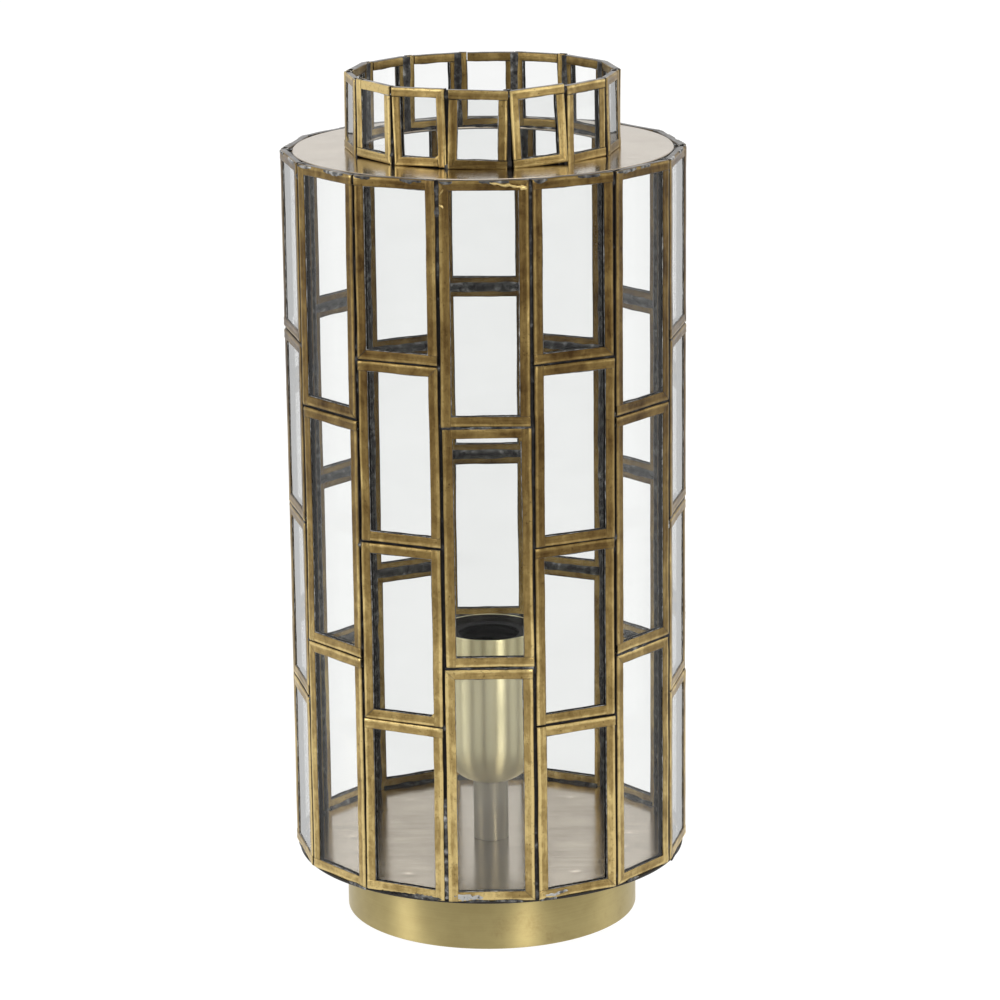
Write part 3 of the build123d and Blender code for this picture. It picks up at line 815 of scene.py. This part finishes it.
def nudged(place, dice, shift, turn, lean):
    """A place moved by up to shift, and turned in its own plane and leaned by up to these degrees."""
    sideways, upwards = dice.uniform(-shift, shift), dice.uniform(-shift, shift)
    move = Matrix.Translation((sideways, upwards, dice.uniform(-shift, 0.3 * shift)))
    spin = Matrix.Rotation(math.radians(dice.uniform(-turn, turn)), 4, "Z")
    tip = Matrix.Rotation(math.radians(dice.uniform(-lean, lean)), 4, "Y")
    return place @ move @ spin @ tip


# Wavy runs of bright metal on the front column's frame: how far under the body's top, two ends as
# (x, y), half width and height, seed, edge and tone.
front_gold_runs = (
    (0, ((2.0, -1.2), (17.4, -3.2)), (0.7, 0.6), 4.4, 1.2, 3.0),
    (0, ((15.2, -3.0), (18.4, -3.3)), (1.0, 0.8), 9.4, 1.3, 3.0),
    (11, ((-18.9, 0.8), (-17.0, -0.6)), (0.8, 0.5), 2.4, 1.0, 2.6),
    (11, ((-18.7, 5.2), (-16.9, 7.2)), (0.8, 0.5), 7.4, 0.9, 2.4),
)


def build_columns():
    """The fourteen columns of framed panes. The lowest front pane is the dustiest."""
    bright_columns = {0: 0.9, 12: 0.9, 13: 0.9}
    for column in range(facet_count):
        dice = random.Random(100 + column)
        count = few_panes if column % 2 == 0 else many_panes
        height, middles = pane_rows(count)
        frames, panes = Draft(), Draft()
        size = (body_width, height)
        for row, middle in enumerate(middles):
            place = facet_place(body_apothem, front_angle + column * facet_step, middle)
            place = nudged(place, dice, 0.22, 0.22, 0.35)
            tone = bright_columns.get(column) or dice.uniform(0.3, 0.75)
            add_frame(frames, place, size, came_face, tone, column * 13.1 + row * 3.7 + 1, dice)
            add_pane(panes, place, size, dusty_film if (column, row) == (0, 0) else thin_film)
        if column == 0:
            for drop, ends, run_size, seed, edge, tone in front_gold_runs:
                place = facet_place(body_apothem, front_angle, body_top - drop)
                add_run(frames, place, ends, run_size, seed, edge, tone)
        node = f"column_{column + 1:02d}"
        make_piece(frames, node + "_framework", "came_brass", node + "_frames", "solder")
        make_piece(panes, node + "_panes", "clear_glass", node + "_glass")


def build_collar():
    """The collar's fourteen small panels, each a little out of line. Those in front lean the most."""
    leans = {0: -0.5, 1: 2.4, 2: 0.6, 13: 0.9, 12: -1.0}
    # The collar's frames are toned paler gold than the body's, and the panels in front get painted
    # highlights, most of all the second to the left.
    tones_and_painted_highlights = {0: 1.8, 1: 2.9, 2: 2.2, 13: 2.4, 12: 3.8, 11: 2.4}
    dice = random.Random(7)
    frames, panes = Draft(), Draft()
    size = (collar_width, collar_height)
    middle = (collar_low.z + collar_high.z) / 2
    for panel in range(facet_count):
        angle = front_angle + collar_turn + panel * facet_step
        place = nudged(facet_place(collar_apothem, angle, middle), dice, 0.3, 0.9, 1.2)
        spin = Matrix.Rotation(math.radians(leans.get(panel, 0.0)), 4, "Z")
        tip = Matrix.Rotation(math.radians(dice.uniform(-1.6, 1.0)), 4, "X")
        place = place @ spin @ tip
        tone = tones_and_painted_highlights.get(panel, dice.uniform(1.4, 2.4))
        add_frame(frames, place, size, collar_face, tone, panel * 5.3 + 301, dice)
        add_pane(panes, place, size, thin_film)
    make_piece(frames, "collar_framework", "came_brass", "collar_frames", "solder")
    make_piece(panes, "collar_panes", "clear_glass", "collar_glass")


# ---- Solder ----
seam_station = 1.3  # between the rings of a seam
blob_radius = 86.9  # where the drops of solder lie on the top plate's corners


def seam_point(apothem, depth, reach):
    """A point this deep under a wall's face and this far along it, out from and beside a corner's axis."""
    outwards = (apothem - depth) * math.cos(half_step) + reach * math.sin(half_step)
    sideways = (apothem - depth) * math.sin(half_step) - reach * math.cos(half_step)
    return outwards, sideways


def add_seam(draft, angle, wall, heights, seed, knots, lumpiness, rough_spans=()):
    """Solder down the groove between two walls, with a strip over their inner faces.

    knots are heights of single lumps, and rough_spans are (low, high, size, grey) of runs of them.
    """
    apothem, half_width = wall
    low, high = heights
    outward = polar(1, angle)
    along = Vector((-math.sin(angle), math.cos(angle), 0))
    rings = []
    steps = int((high - low) / seam_station)
    for step in range(steps + 1):
        z = low + (high - low) * step / steps
        lump = max(0.0, 0.9 * noise.noise(Vector((z * 0.33, seed, 0.0))) + lumpiness * 0.5 - 0.12)
        lump += max(0.0, noise.noise(Vector((z * 0.016, seed + 9, 3.0))) - 0.1) * lumpiness
        lump += sum(0.6 * math.exp(-(((z - knot) / 1.5) ** 2)) for knot in knots)
        grey = 0.0
        for rough_low, rough_high, size, shade in rough_spans:
            if rough_low < z < rough_high:
                lump += size * (0.75 + 0.7 * noise.noise(Vector((z * 0.42, seed, 5.0))))
                grey = shade * (1 + 0.8 * noise.noise(Vector((z * 0.5, seed, 8.0))))
        lump = min(1.0, lump)
        depth = 1.75 + 0.25 * wobble(z, seed, 0.12) - 1.55 * lump
        side_out, side_across = seam_point(apothem, depth, half_width)
        side_across += 0.3
        crown = 0.2 * lump
        inner_out, inner_across = seam_point(apothem, came_depth, half_width - 0.2)
        reach = seam_strip * (1 + 0.2 * wobble(z, seed + 2, 0.11))
        far_out, far_across = seam_point(apothem, came_depth + 0.05, half_width - reach)
        back = 0.5 + 0.28 * wobble(z, seed + 4, 0.16)
        mid_out, mid_across = seam_point(apothem, came_depth + max(0.2, back), half_width - reach * 0.6)
        half = [
            (side_out + crown, side_across * 0.45, lump * 0.62 + grey),
            (side_out, side_across, lump * 0.45 + grey),
            (inner_out, inner_across, 0.2),
            (far_out, far_across, 0.62),
            (mid_out - 0.1, mid_across, 0.52),
        ]
        tail = (inner_out - 0.9 - 0.3 * back, 0.0, 0.4)
        outline = half + [tail] + [(o, -a, e) for o, a, e in reversed(half)]
        lift = Vector((0, 0, z))
        rings.append([(outward * o + along * a + lift, e, 0.0) for o, a, e in outline])
    draft.add_rings(rings)


def joint_heights(column):
    """Heights of the joints between the frames of one column."""
    count = few_panes if column % 2 == 0 else many_panes
    height, middles = pane_rows(count)
    return [middle + (height + joint_gap) / 2 for middle in middles[:-1]]


def build_seams():
    """The solder between the columns, with lumps where a joint runs into a seam and a few odd drops."""
    rough_seams = {
        13: ((30.6, 78.0, 0.7, 0.24), (308.0, 336.0, 0.4, 0.2), (336.0, 350.0, 0.8, 0.0)),
        0: ((30.6, 66.0, 0.2, 0.1), (285.0, 352.0, 0.25, 0.1)),
        4: ((60.0, 120.0, 0.5, 0.1),),
        7: ((250.0, 340.0, 0.5, 0.1),),
        9: ((30.6, 90.0, 0.6, 0.15),),
    }
    dice = random.Random(31)
    draft = Draft()
    for corner in range(facet_count):
        angle = front_angle + (corner + 0.5) * facet_step
        knots = [z + dice.uniform(-1.5, 1.5) for z in joint_heights(corner) + joint_heights(corner + 1)]
        knots = [z for z in knots if dice.random() < 0.55]
        knots += [body_top - dice.uniform(1, 6), body_bottom + dice.uniform(1, 9)]
        lumpiness = dice.choice((0.0, 0.05, 0.12, 0.3))
        wall = (body_apothem, body_width / 2)
        spans = rough_seams.get(corner, ())
        add_seam(draft, angle, wall, (body_bottom, body_top), corner * 4.7 + 1, knots, lumpiness, spans)
        if dice.random() < 0.6:
            spot = polar(1, angle) * blob_radius + Vector((0, 0, body_top - 0.2))
            add_blob(draft, spot, (1.5, 1.5, 0.4), corner * 3.1)
    make_piece(draft, "corner_seam_solder", "solder", "corner_seams")


def build_joints():
    """The solder between frames that stand on each other, with a strip behind each joint."""
    draft = Draft()
    dice = random.Random(43)
    for column in range(facet_count):
        for index, height in enumerate(joint_heights(column)):
            full = 1.0 if column == 0 else dice.choice((0.0, 0.1, 0.3, 0.9))
            place = facet_place(body_apothem, front_angle + column * facet_step, height)
            seed = column * 3.3 + index * 1.9 + 61
            half = body_width / 2
            rings = []
            for step in range(31):
                x = half * (2 * step / 30 - 1)
                depth = 0.95 - 0.75 * full + 0.3 * wobble(x, seed, 0.2)
                swell = 0.5 + 0.25 * wobble(x, seed + 1, 0.3)
                grey = max(0.0, 0.15 + 0.4 * full + 0.35 * wobble(x, seed + 2, 0.18))
                strip = joint_strip + 0.3 * wobble(x, seed + 3, 0.15)
                thick = came_depth + 0.55 + 0.25 * wobble(x, seed + 4, 0.2)
                fade = max(0.1, min(1.0, (half - abs(x)) / 3.0))
                side = -came_depth - (thick - came_depth) * fade
                outline = [
                    (-swell, -depth - 0.2, grey),
                    (0.0, -max(0.15, depth), grey * 0.6),
                    (swell, -depth - 0.2, grey),
                    (0.3, -came_depth, 0.2),
                    (strip, -came_depth - 0.02, 0.6),
                    (strip * 0.6, side, 0.55),
                    (0.0, -came_depth - (thick - came_depth) * 1.15 * fade, 0.35),
                    (-strip * 0.6, side, 0.55),
                    (-strip, -came_depth - 0.02, 0.6),
                    (-0.3, -came_depth, 0.2),
                ]
                rings.append([(Vector((x, y, z)), e, 0.0) for y, z, e in outline])
            draft.add_rings(rings, place)
    make_piece(draft, "pane_joint_beads", "solder", "pane_joint_solder")


def add_fillet(draft, apothem, angle, height, rise, length, seed):
    """An uneven bead of solder in the corner between a plate and the inner face of a wall."""
    place = facet_place(apothem, angle, height)
    rings = []
    for step in range(25):
        x = length * (step / 24 - 0.5)
        size = abs(rise) * (1 + 0.25 * wobble(x, seed, 0.2))
        up = math.copysign(size, rise)
        outline = [(0.3, 0.1), (up, 0.1), (up * 0.62, -size * 0.25)]
        outline += [(up * 0.25, -size * 0.62), (0.0, -size), (-0.1, -size)]
        grey = 0.4 + 0.3 * wobble(x, seed + 1, 0.3)
        rings.append([(Vector((x, y, z)), grey, 0.0) for y, z in outline])
    draft.add_rings(rings, place)


def add_run(draft, place, ends, size, seed, edge, tone=0.5):
    """A wavy run of metal on a wall's face. ends are two (x, y), and size is half width and height."""
    start, end = Vector(ends[0]), Vector(ends[1])
    half_width, rise = size
    steps = 44
    rings = []
    for step in range(steps + 1):
        share = step / steps
        x, y = start.lerp(end, share)
        y += 0.35 * wobble(x, seed, 0.55)
        taper = max(0.15, min(1.0, 6 * share, 6 * (1 - share))) ** 0.5
        half = half_width * taper * (1 + 0.4 * wobble(x, seed + 1, 0.6))
        top = rise * taper * (1 + 0.3 * wobble(x, seed + 2, 0.7))
        shade = edge + 0.2 * wobble(x, seed + 4, 0.5)
        outline = [(-1.0, -0.25), (-0.75, top * 0.55), (-0.3, top)]
        outline += [(-across, z) for across, z in reversed(outline)]
        rings.append([(Vector((x, y + across * half, z)), shade, 0.0) for across, z in outline])
    draft.add_rings(rings, place, tone=tone)


def add_smear(draft, angle, span, height, seed, grey, way=1):
    """Solder smeared along the outside of a wall's lower edge, or its upper edge where way is -1."""
    place = facet_place(body_apothem, angle, height)
    rings = []
    for step in range(17):
        share = step / 16
        x = span[0] + (span[1] - span[0]) * share
        bulge = math.sin(math.pi * min(1, max(0, share * 0.96 + 0.02))) ** 0.5
        tall = (0.8 + 0.5 * wobble(x, seed, 0.45)) * bulge + 0.05
        out = (0.4 + 0.2 * wobble(x, seed + 2, 0.5)) * bulge
        outline = [(-0.5, -0.6), (-0.5, out * 0.6), (tall * 0.1, out)]
        outline += [(tall * 0.7, out * 0.7), (tall, 0.02), (tall, -0.6)]
        shade = grey + 0.25 * wobble(x, seed + 5, 0.6)
        rings.append([(Vector((x, way * y, z)), shade, 0.0) for y, z in outline])
    draft.add_rings(rings, place)


# Wavy runs of solder along the body's lower edge in front: facet to the right of the middle one, two
# ends as (x, y), half width and height, seed and edge.
floor_runs = (
    (0, ((-18.3, 2.3), (-4.0, 1.7)), (1.35, 0.12), 3.3, 1.05),
    (-1, ((2.0, 0.9), (17.5, 0.7)), (0.9, 0.35), 8.1, 0.6),
    (-1, ((-13.0, 0.3), (4.0, 0.8)), (0.4, 0.25), 5.7, 0.25),
    (1, ((-17.5, 1.3), (-5.0, 2.2)), (0.7, 0.2), 6.1, 0.95),
)


def build_plate_solder():
    """Solder round the floor plate, under the top plate and round the foot of the collar."""
    floor_draft, top_draft, collar_draft = Draft(), Draft(), Draft()
    dice = random.Random(5)
    length = body_width - 6.4
    collar_length = collar_width - 3.6
    under_rim = body_top - 0.7
    half = body_width / 2
    for facet in range(facet_count):
        angle = front_angle + facet * facet_step
        add_fillet(floor_draft, body_inner, angle, body_bottom, 1.5, length, facet * 2.3 + 11)
        add_fillet(top_draft, body_inner, angle, plate_low.z, -1.5, length, facet * 2.3 + 51)
        for _ in range(dice.choice((1, 2, 2))):
            start = dice.uniform(-half, half - 8)
            span = (start, min(half, start + dice.uniform(5, 20)))
            seed, grey = dice.uniform(0, 90), dice.uniform(0.1, 0.7)
            add_smear(floor_draft, angle, span, body_bottom, seed, grey)
        for start in (-half + 0.5, dice.uniform(-4, 4)):
            span = (start, start + dice.uniform(5, 14))
            seed, grey = dice.uniform(0, 90), dice.uniform(0.5, 0.85)
            add_smear(top_draft, angle, span, under_rim, seed, grey, -1)
        turned = angle + collar_turn
        add_fillet(collar_draft, collar_inner, turned, plate_high.z, 1.3, collar_length, facet + 91.3)
    for facet, ends, size, seed, edge in floor_runs:
        place = facet_place(body_apothem, front_angle + facet * facet_step, body_bottom)
        add_run(floor_draft, place, ends, size, seed, edge)
    make_piece(floor_draft, "floor_plate_beads", "solder", "floor_solder")
    make_piece(top_draft, "top_plate_beads", "solder", "top_plate_solder")
    make_piece(collar_draft, "collar_base_beads", "solder", "collar_base_solder")


def build_collar_seams():
    """The solder between the collar's panels, with wide dark strips inside."""
    dice = random.Random(17)
    draft = Draft()
    for corner in range(facet_count):
        angle = front_angle + collar_turn + (corner + 0.5) * facet_step
        knots = [collar_low.z + dice.uniform(0, 4), collar_high.z - dice.uniform(0, 3)]
        heights = (collar_low.z, collar_high.z - 0.3)
        wall = (collar_apothem, collar_width / 2)
        add_seam(draft, angle, wall, heights, corner * 2.9 + 203, knots, dice.choice((0.1, 0.2, 0.45)))
    make_piece(draft, "collar_seam_solder", "solder", "collar_seams")


# ---- Plates, foot, stem and cup ----
def build_floor_plate():
    """The floor plate, with the shallow dimples that its punched lugs left round the foot."""
    draft = Draft()
    dimple_count, dimple_circle, dimple_radius = 20, 64.0, 2.1
    rim = floor_high.x
    radii = [thread_hole_radius, 9, 16, 24, 32, 40, 48, 54, 58]
    radii += [60 + 0.5 * k for k in range(17)]
    radii += [70, 74, 79, 84, rim - 0.3]
    rings = []
    for turn in range(720):
        angle = math.tau * turn / 720
        nearest = round(angle / math.tau * dimple_count) * math.tau / dimple_count
        ring = []
        for radius in radii:
            across = dimple_circle * (angle - nearest) * 0.8
            gap = math.hypot(across, radius - dimple_circle) / dimple_radius
            dip = 0.09 * math.exp(-gap * gap * 1.1)
            buckle = 0.05 * noise.noise(polar(radius, angle) * 0.03)
            ring.append((radius, floor_high.z - dip + buckle))
        ring += [(rim, floor_high.z - 0.3), (rim, floor_low.z + 0.2), (rim - 0.2, floor_low.z)]
        ring += [(ring_high.x, floor_low.z), (thread_hole_radius, floor_low.z)]
        # Painted shade: the plate's rim, which peeks out under the frames, is painted black.
        rings.append([(polar(r, angle, z), 0.5, 1.0 if r > body_apothem - 1 else 0.0) for r, z in ring])
    draft.add_rings(rings, joined=True)
    make_piece(draft, "floor_disc", "plate_brass", "floor_plate")


def build_top_plate():
    """The plate between the body and the collar, slightly buckled by the heat of soldering."""
    draft = Draft()
    radii = [plate_hole_radius + 0.3, 58, 62, 66, 70, 74, 78, 82, plate_high.x - 0.3]
    outline = [(radius, plate_high.z) for radius in radii]
    outline += [(plate_high.x, plate_high.z - 0.3), (plate_high.x, plate_low.z + 0.2)]
    outline.append((plate_high.x - 0.2, plate_low.z))
    outline += [(plate_hole_radius + 0.2, plate_low.z), (plate_hole_radius, plate_low.z + 0.2)]
    outline.append((plate_hole_radius, plate_high.z - 0.3))

    def buckle(radius, height, angle):
        """The top face's slow waves."""
        wave = noise.noise(polar(radius, angle, 7) * 0.035)
        return radius, height + 0.1 * wave

    def painted_shade_underneath(radius, height):
        """Painted shade: the rim is a little dark, and the underside is dark."""
        return 0.95 if height < plate_low.z + 0.3 else 0.1 if radius > plate_high.x - 0.25 else 0.0

    add_lathe(draft, outline, 240, shape=buckle, grime_and_painted_shade=painted_shade_underneath)
    make_piece(draft, "top_disc", "plate_brass", "top_plate")


def cut_bore(piece, centre, radius, length):
    """Cuts a round hole along Y through a piece."""
    mesh = bpy.data.meshes.new("cutter")
    tool = bmesh.new()
    place = Matrix.Translation(centre * MM) @ Matrix.Rotation(math.pi / 2, 4, "X")
    sizes = {"radius1": radius * MM, "radius2": radius * MM, "depth": length * MM}
    bmesh.ops.create_cone(tool, cap_ends=True, segments=64, matrix=place, **sizes)
    tool.to_mesh(mesh)
    tool.free()
    cutter = bpy.data.objects.new("cutter", mesh)
    bpy.context.collection.objects.link(cutter)
    cut = piece.modifiers.new("bore", "BOOLEAN")
    cut.operation = "DIFFERENCE"
    cut.solver = "EXACT"
    cut.object = cutter
    bpy.context.view_layer.update()
    graph = bpy.context.evaluated_depsgraph_get()
    bored = bpy.data.meshes.new_from_object(piece.evaluated_get(graph))
    piece.modifiers.remove(cut)
    piece.data = bored
    bpy.data.objects.remove(cutter)


def build_foot():
    """The round foot with its rolled edges, and the hole for the grommet where the flex goes in."""
    draft = Draft()
    radius = ring_high.x
    inner = radius - ring_wall
    bottom, top = ring_low.z, ring_high.z
    outline = rounded_outline(
        [(radius, bottom, 0.45), (radius, top, 0.25), (inner, top, 0.25), (inner, bottom, 0.35)], 4
    )
    add_lathe(draft, outline, 360)
    ring = make_piece(draft, "foot_ring", "foot_brass", "base_ring")
    middle = (grommet_low + grommet_high) / 2
    cut_bore(ring, Vector((0, radius, middle.z)), grommet_neck_radius + 0.05, 12)
    build_foot_bead(inner, top)


def build_foot_bead(inner, top):
    """The bead of solder between the foot and the floor plate."""
    bead = Draft()
    low, high = box_mm("base_ring_solder")
    steps = 120
    rings = []
    for turn in range(steps):
        angle = math.tau * turn / steps
        size = (high.z - low.z) * (1 + 0.15 * wobble(turn, 77, 0.3))
        outline = [(inner + 0.1, top), (inner + 0.1, top - size)]
        outline += [(inner - size * 0.35, top - size * 0.4), (inner - size, top)]
        rings.append([(polar(r, angle, z), 0.5, 0.0) for r, z in outline])
    bead.add_rings(rings, joined=True)
    make_piece(bead, "foot_ring_bead", "solder", "base_ring_solder")


def build_stem():
    """The tube between the floor and the cup."""
    draft = Draft()
    radius = stem_high.x
    corners = [(radius, stem_low.z, 0.2), (radius, stem_high.z, 0.2)]
    corners += [(radius - stem_wall, stem_high.z, 0.2), (radius - stem_wall, stem_low.z, 0.2)]
    add_lathe(draft, rounded_outline(corners, 3), 96)
    make_piece(draft, "stem_sleeve", "stem_brass", "stem_tube")


def build_cup():
    """The spun cup round the lampholder, with faint spinning ridges and a folded rim."""
    draft = Draft()
    radius, bottom, top = cup_high.x, cup_low.z, cup_high.z
    inner = radius - cup_wall
    hole = thread_hole_radius
    bend = cup_corner_radius
    bowl_height = 20.0
    ridge_start = 20.0  # above the bend, where the ridges are at their full size
    corners = [
        (hole, bottom, 0.1),
        (radius, bottom, bend),
        (radius, top, 0.33),
        (inner, top, 0.33),
        (inner, bottom + cup_wall, bend - cup_wall),
        (hole, bottom + cup_wall, 0.1),
    ]
    outline = []
    rounded = rounded_outline(corners, 14)
    for index, point in enumerate(rounded):
        following = rounded[(index + 1) % len(rounded)]
        pieces = max(1, int((following - point).length / 1.2))
        outline += [point.lerp(following, k / pieces) for k in range(pieces)]

    def spun(r, z, angle):
        """Stretches the round bottom upwards. Spinning leaves slow ridges and a slightly oval mouth."""
        share = max(0.0, min(1.0, (z - bottom - bend) / ridge_start))
        wide = r + share * (0.025 * math.sin(z * 1.9) + 0.06 * math.cos(2 * angle + 0.7))
        rise = z - bottom
        if rise > bend:
            return wide, top - (top - z) * (top - bottom - bowl_height) / (top - bottom - bend)
        return wide, bottom + max(rise, 0.0) * bowl_height / bend

    def painted_shade_inside(r, z):
        """Painted shade: the cup is black inside, up to its rim."""
        return 1.0 if r <= inner + 0.05 and z > bottom + bend else 0.0

    add_lathe(draft, outline, 192, shape=spun, grime_and_painted_shade=painted_shade_inside)
    make_piece(draft, "cup_shell", "cup_brass", "holder_cup", sharp_angle=50)


def build_lampholder():
    """The lampholder's shell, threaded inside for the bulb and knurled outside near its rim."""
    draft = Draft()
    outer, bottom, top = shell_high.x, shell_low.z, shell_high.z
    thread_bottom = top - bulb_thread_length
    thread_wall_radius = bulb_thread_radius + 1.8
    hollow_radius = thread_wall_radius + 1.8
    inner = [(bulb_thread_radius, top - 0.6 - 0.3 * k) for k in range(int((bulb_thread_length - 0.8) / 0.3))]
    lower_radius = box_mm("holder_insert")[1].x + 1.1
    outline = [(outer, bottom + 0.4), (outer, top - 7.0), (outer, top - 6.5), (outer, top - 1.2)]
    outline += [(outer - 0.8, top), (bulb_thread_radius + 0.5, top)]
    outline += inner
    outline += [(bulb_thread_radius, thread_bottom), (thread_wall_radius, thread_bottom)]
    outline += [(thread_wall_radius, top - 2.2), (hollow_radius, top - 2.2)]
    outline += [(hollow_radius, bottom + 5.2), (lower_radius, bottom + 4.9), (lower_radius, bottom)]
    outline.append((outer - 0.4, bottom))

    def threaded(r, z, angle):
        """The bulb's thread inside, and shallow flutes low on the outside."""
        if r == bulb_thread_radius and z > thread_bottom:
            turn = math.tau * z / bulb_thread_pitch - angle
            return r + 0.55 + 0.55 * math.cos(turn), z
        if r == outer and z < top - 6.8:
            return r - 0.28 * (0.5 + 0.5 * math.cos(angle * 48)), z
        return r, z

    add_lathe(draft, outline, 288, shape=threaded)
    make_piece(draft, "threaded_shell", "holder_plastic", "holder_shell", sharp_angle=45)


def build_grommet():
    """The rubber grommet in the foot, with rounded flanges."""
    draft = Draft()
    bore, neck, flange = grommet_bore_radius, grommet_neck_radius, grommet_flange_radius
    inner_face, outer_face = grommet_low.y, grommet_high.y
    wall_inner, wall_outer = ring_high.x - ring_wall - 0.25, ring_high.x + 0.1
    corners = [
        (bore, inner_face, 0.4),
        (flange, inner_face, 0.8),
        (flange, wall_inner, 0.3),
        (neck, wall_inner, 0.0),
        (neck, wall_outer, 0.0),
        (flange, wall_outer, 0.3),
        (flange, outer_face, 0.8),
        (bore, outer_face, 0.4),
    ]
    add_lathe(draft, rounded_outline(corners, 4), 72)
    middle = (grommet_low.z + grommet_high.z) / 2
    turn = Matrix(((1, 0, 0), (0, 0, 1), (0, -1, 0))).to_4x4()
    turn.translation = Vector((0, 0, middle))
    draft.points = [turn @ point for point in draft.points]
    make_piece(draft, "flex_grommet", "grommet_rubber", "cord_grommet")


def finish_cad_nodes():
    """Materials for the CAD nodes that stay as they are."""
    steel = ["threaded_tube", "plate_washer", "plate_nut", "cup_lock_washer", "cup_nut"]
    nodes_of = {
        "zinc_steel": steel + ["cap_lock_screw", "terminal_screws"],
        "holder_plastic": ["holder_cap", "holder_insert"],
        "contact_metal": ["centre_terminal", "centre_contact", "side_terminal", "side_contact"],
        "fibreboard": ["base_board"],
        "felt": ["felt_pad"],
    }
    for finish, nodes in nodes_of.items():
        for node in nodes:
            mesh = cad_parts[node].data
            mesh.materials.clear()
            mesh.materials.append(finishes[finish])


build_columns()
build_seams()
build_joints()
build_plate_solder()
build_collar()
build_collar_seams()
build_floor_plate()
build_top_plate()
build_foot()
build_stem()
build_cup()
build_lampholder()
build_grommet()
finish_cad_nodes()
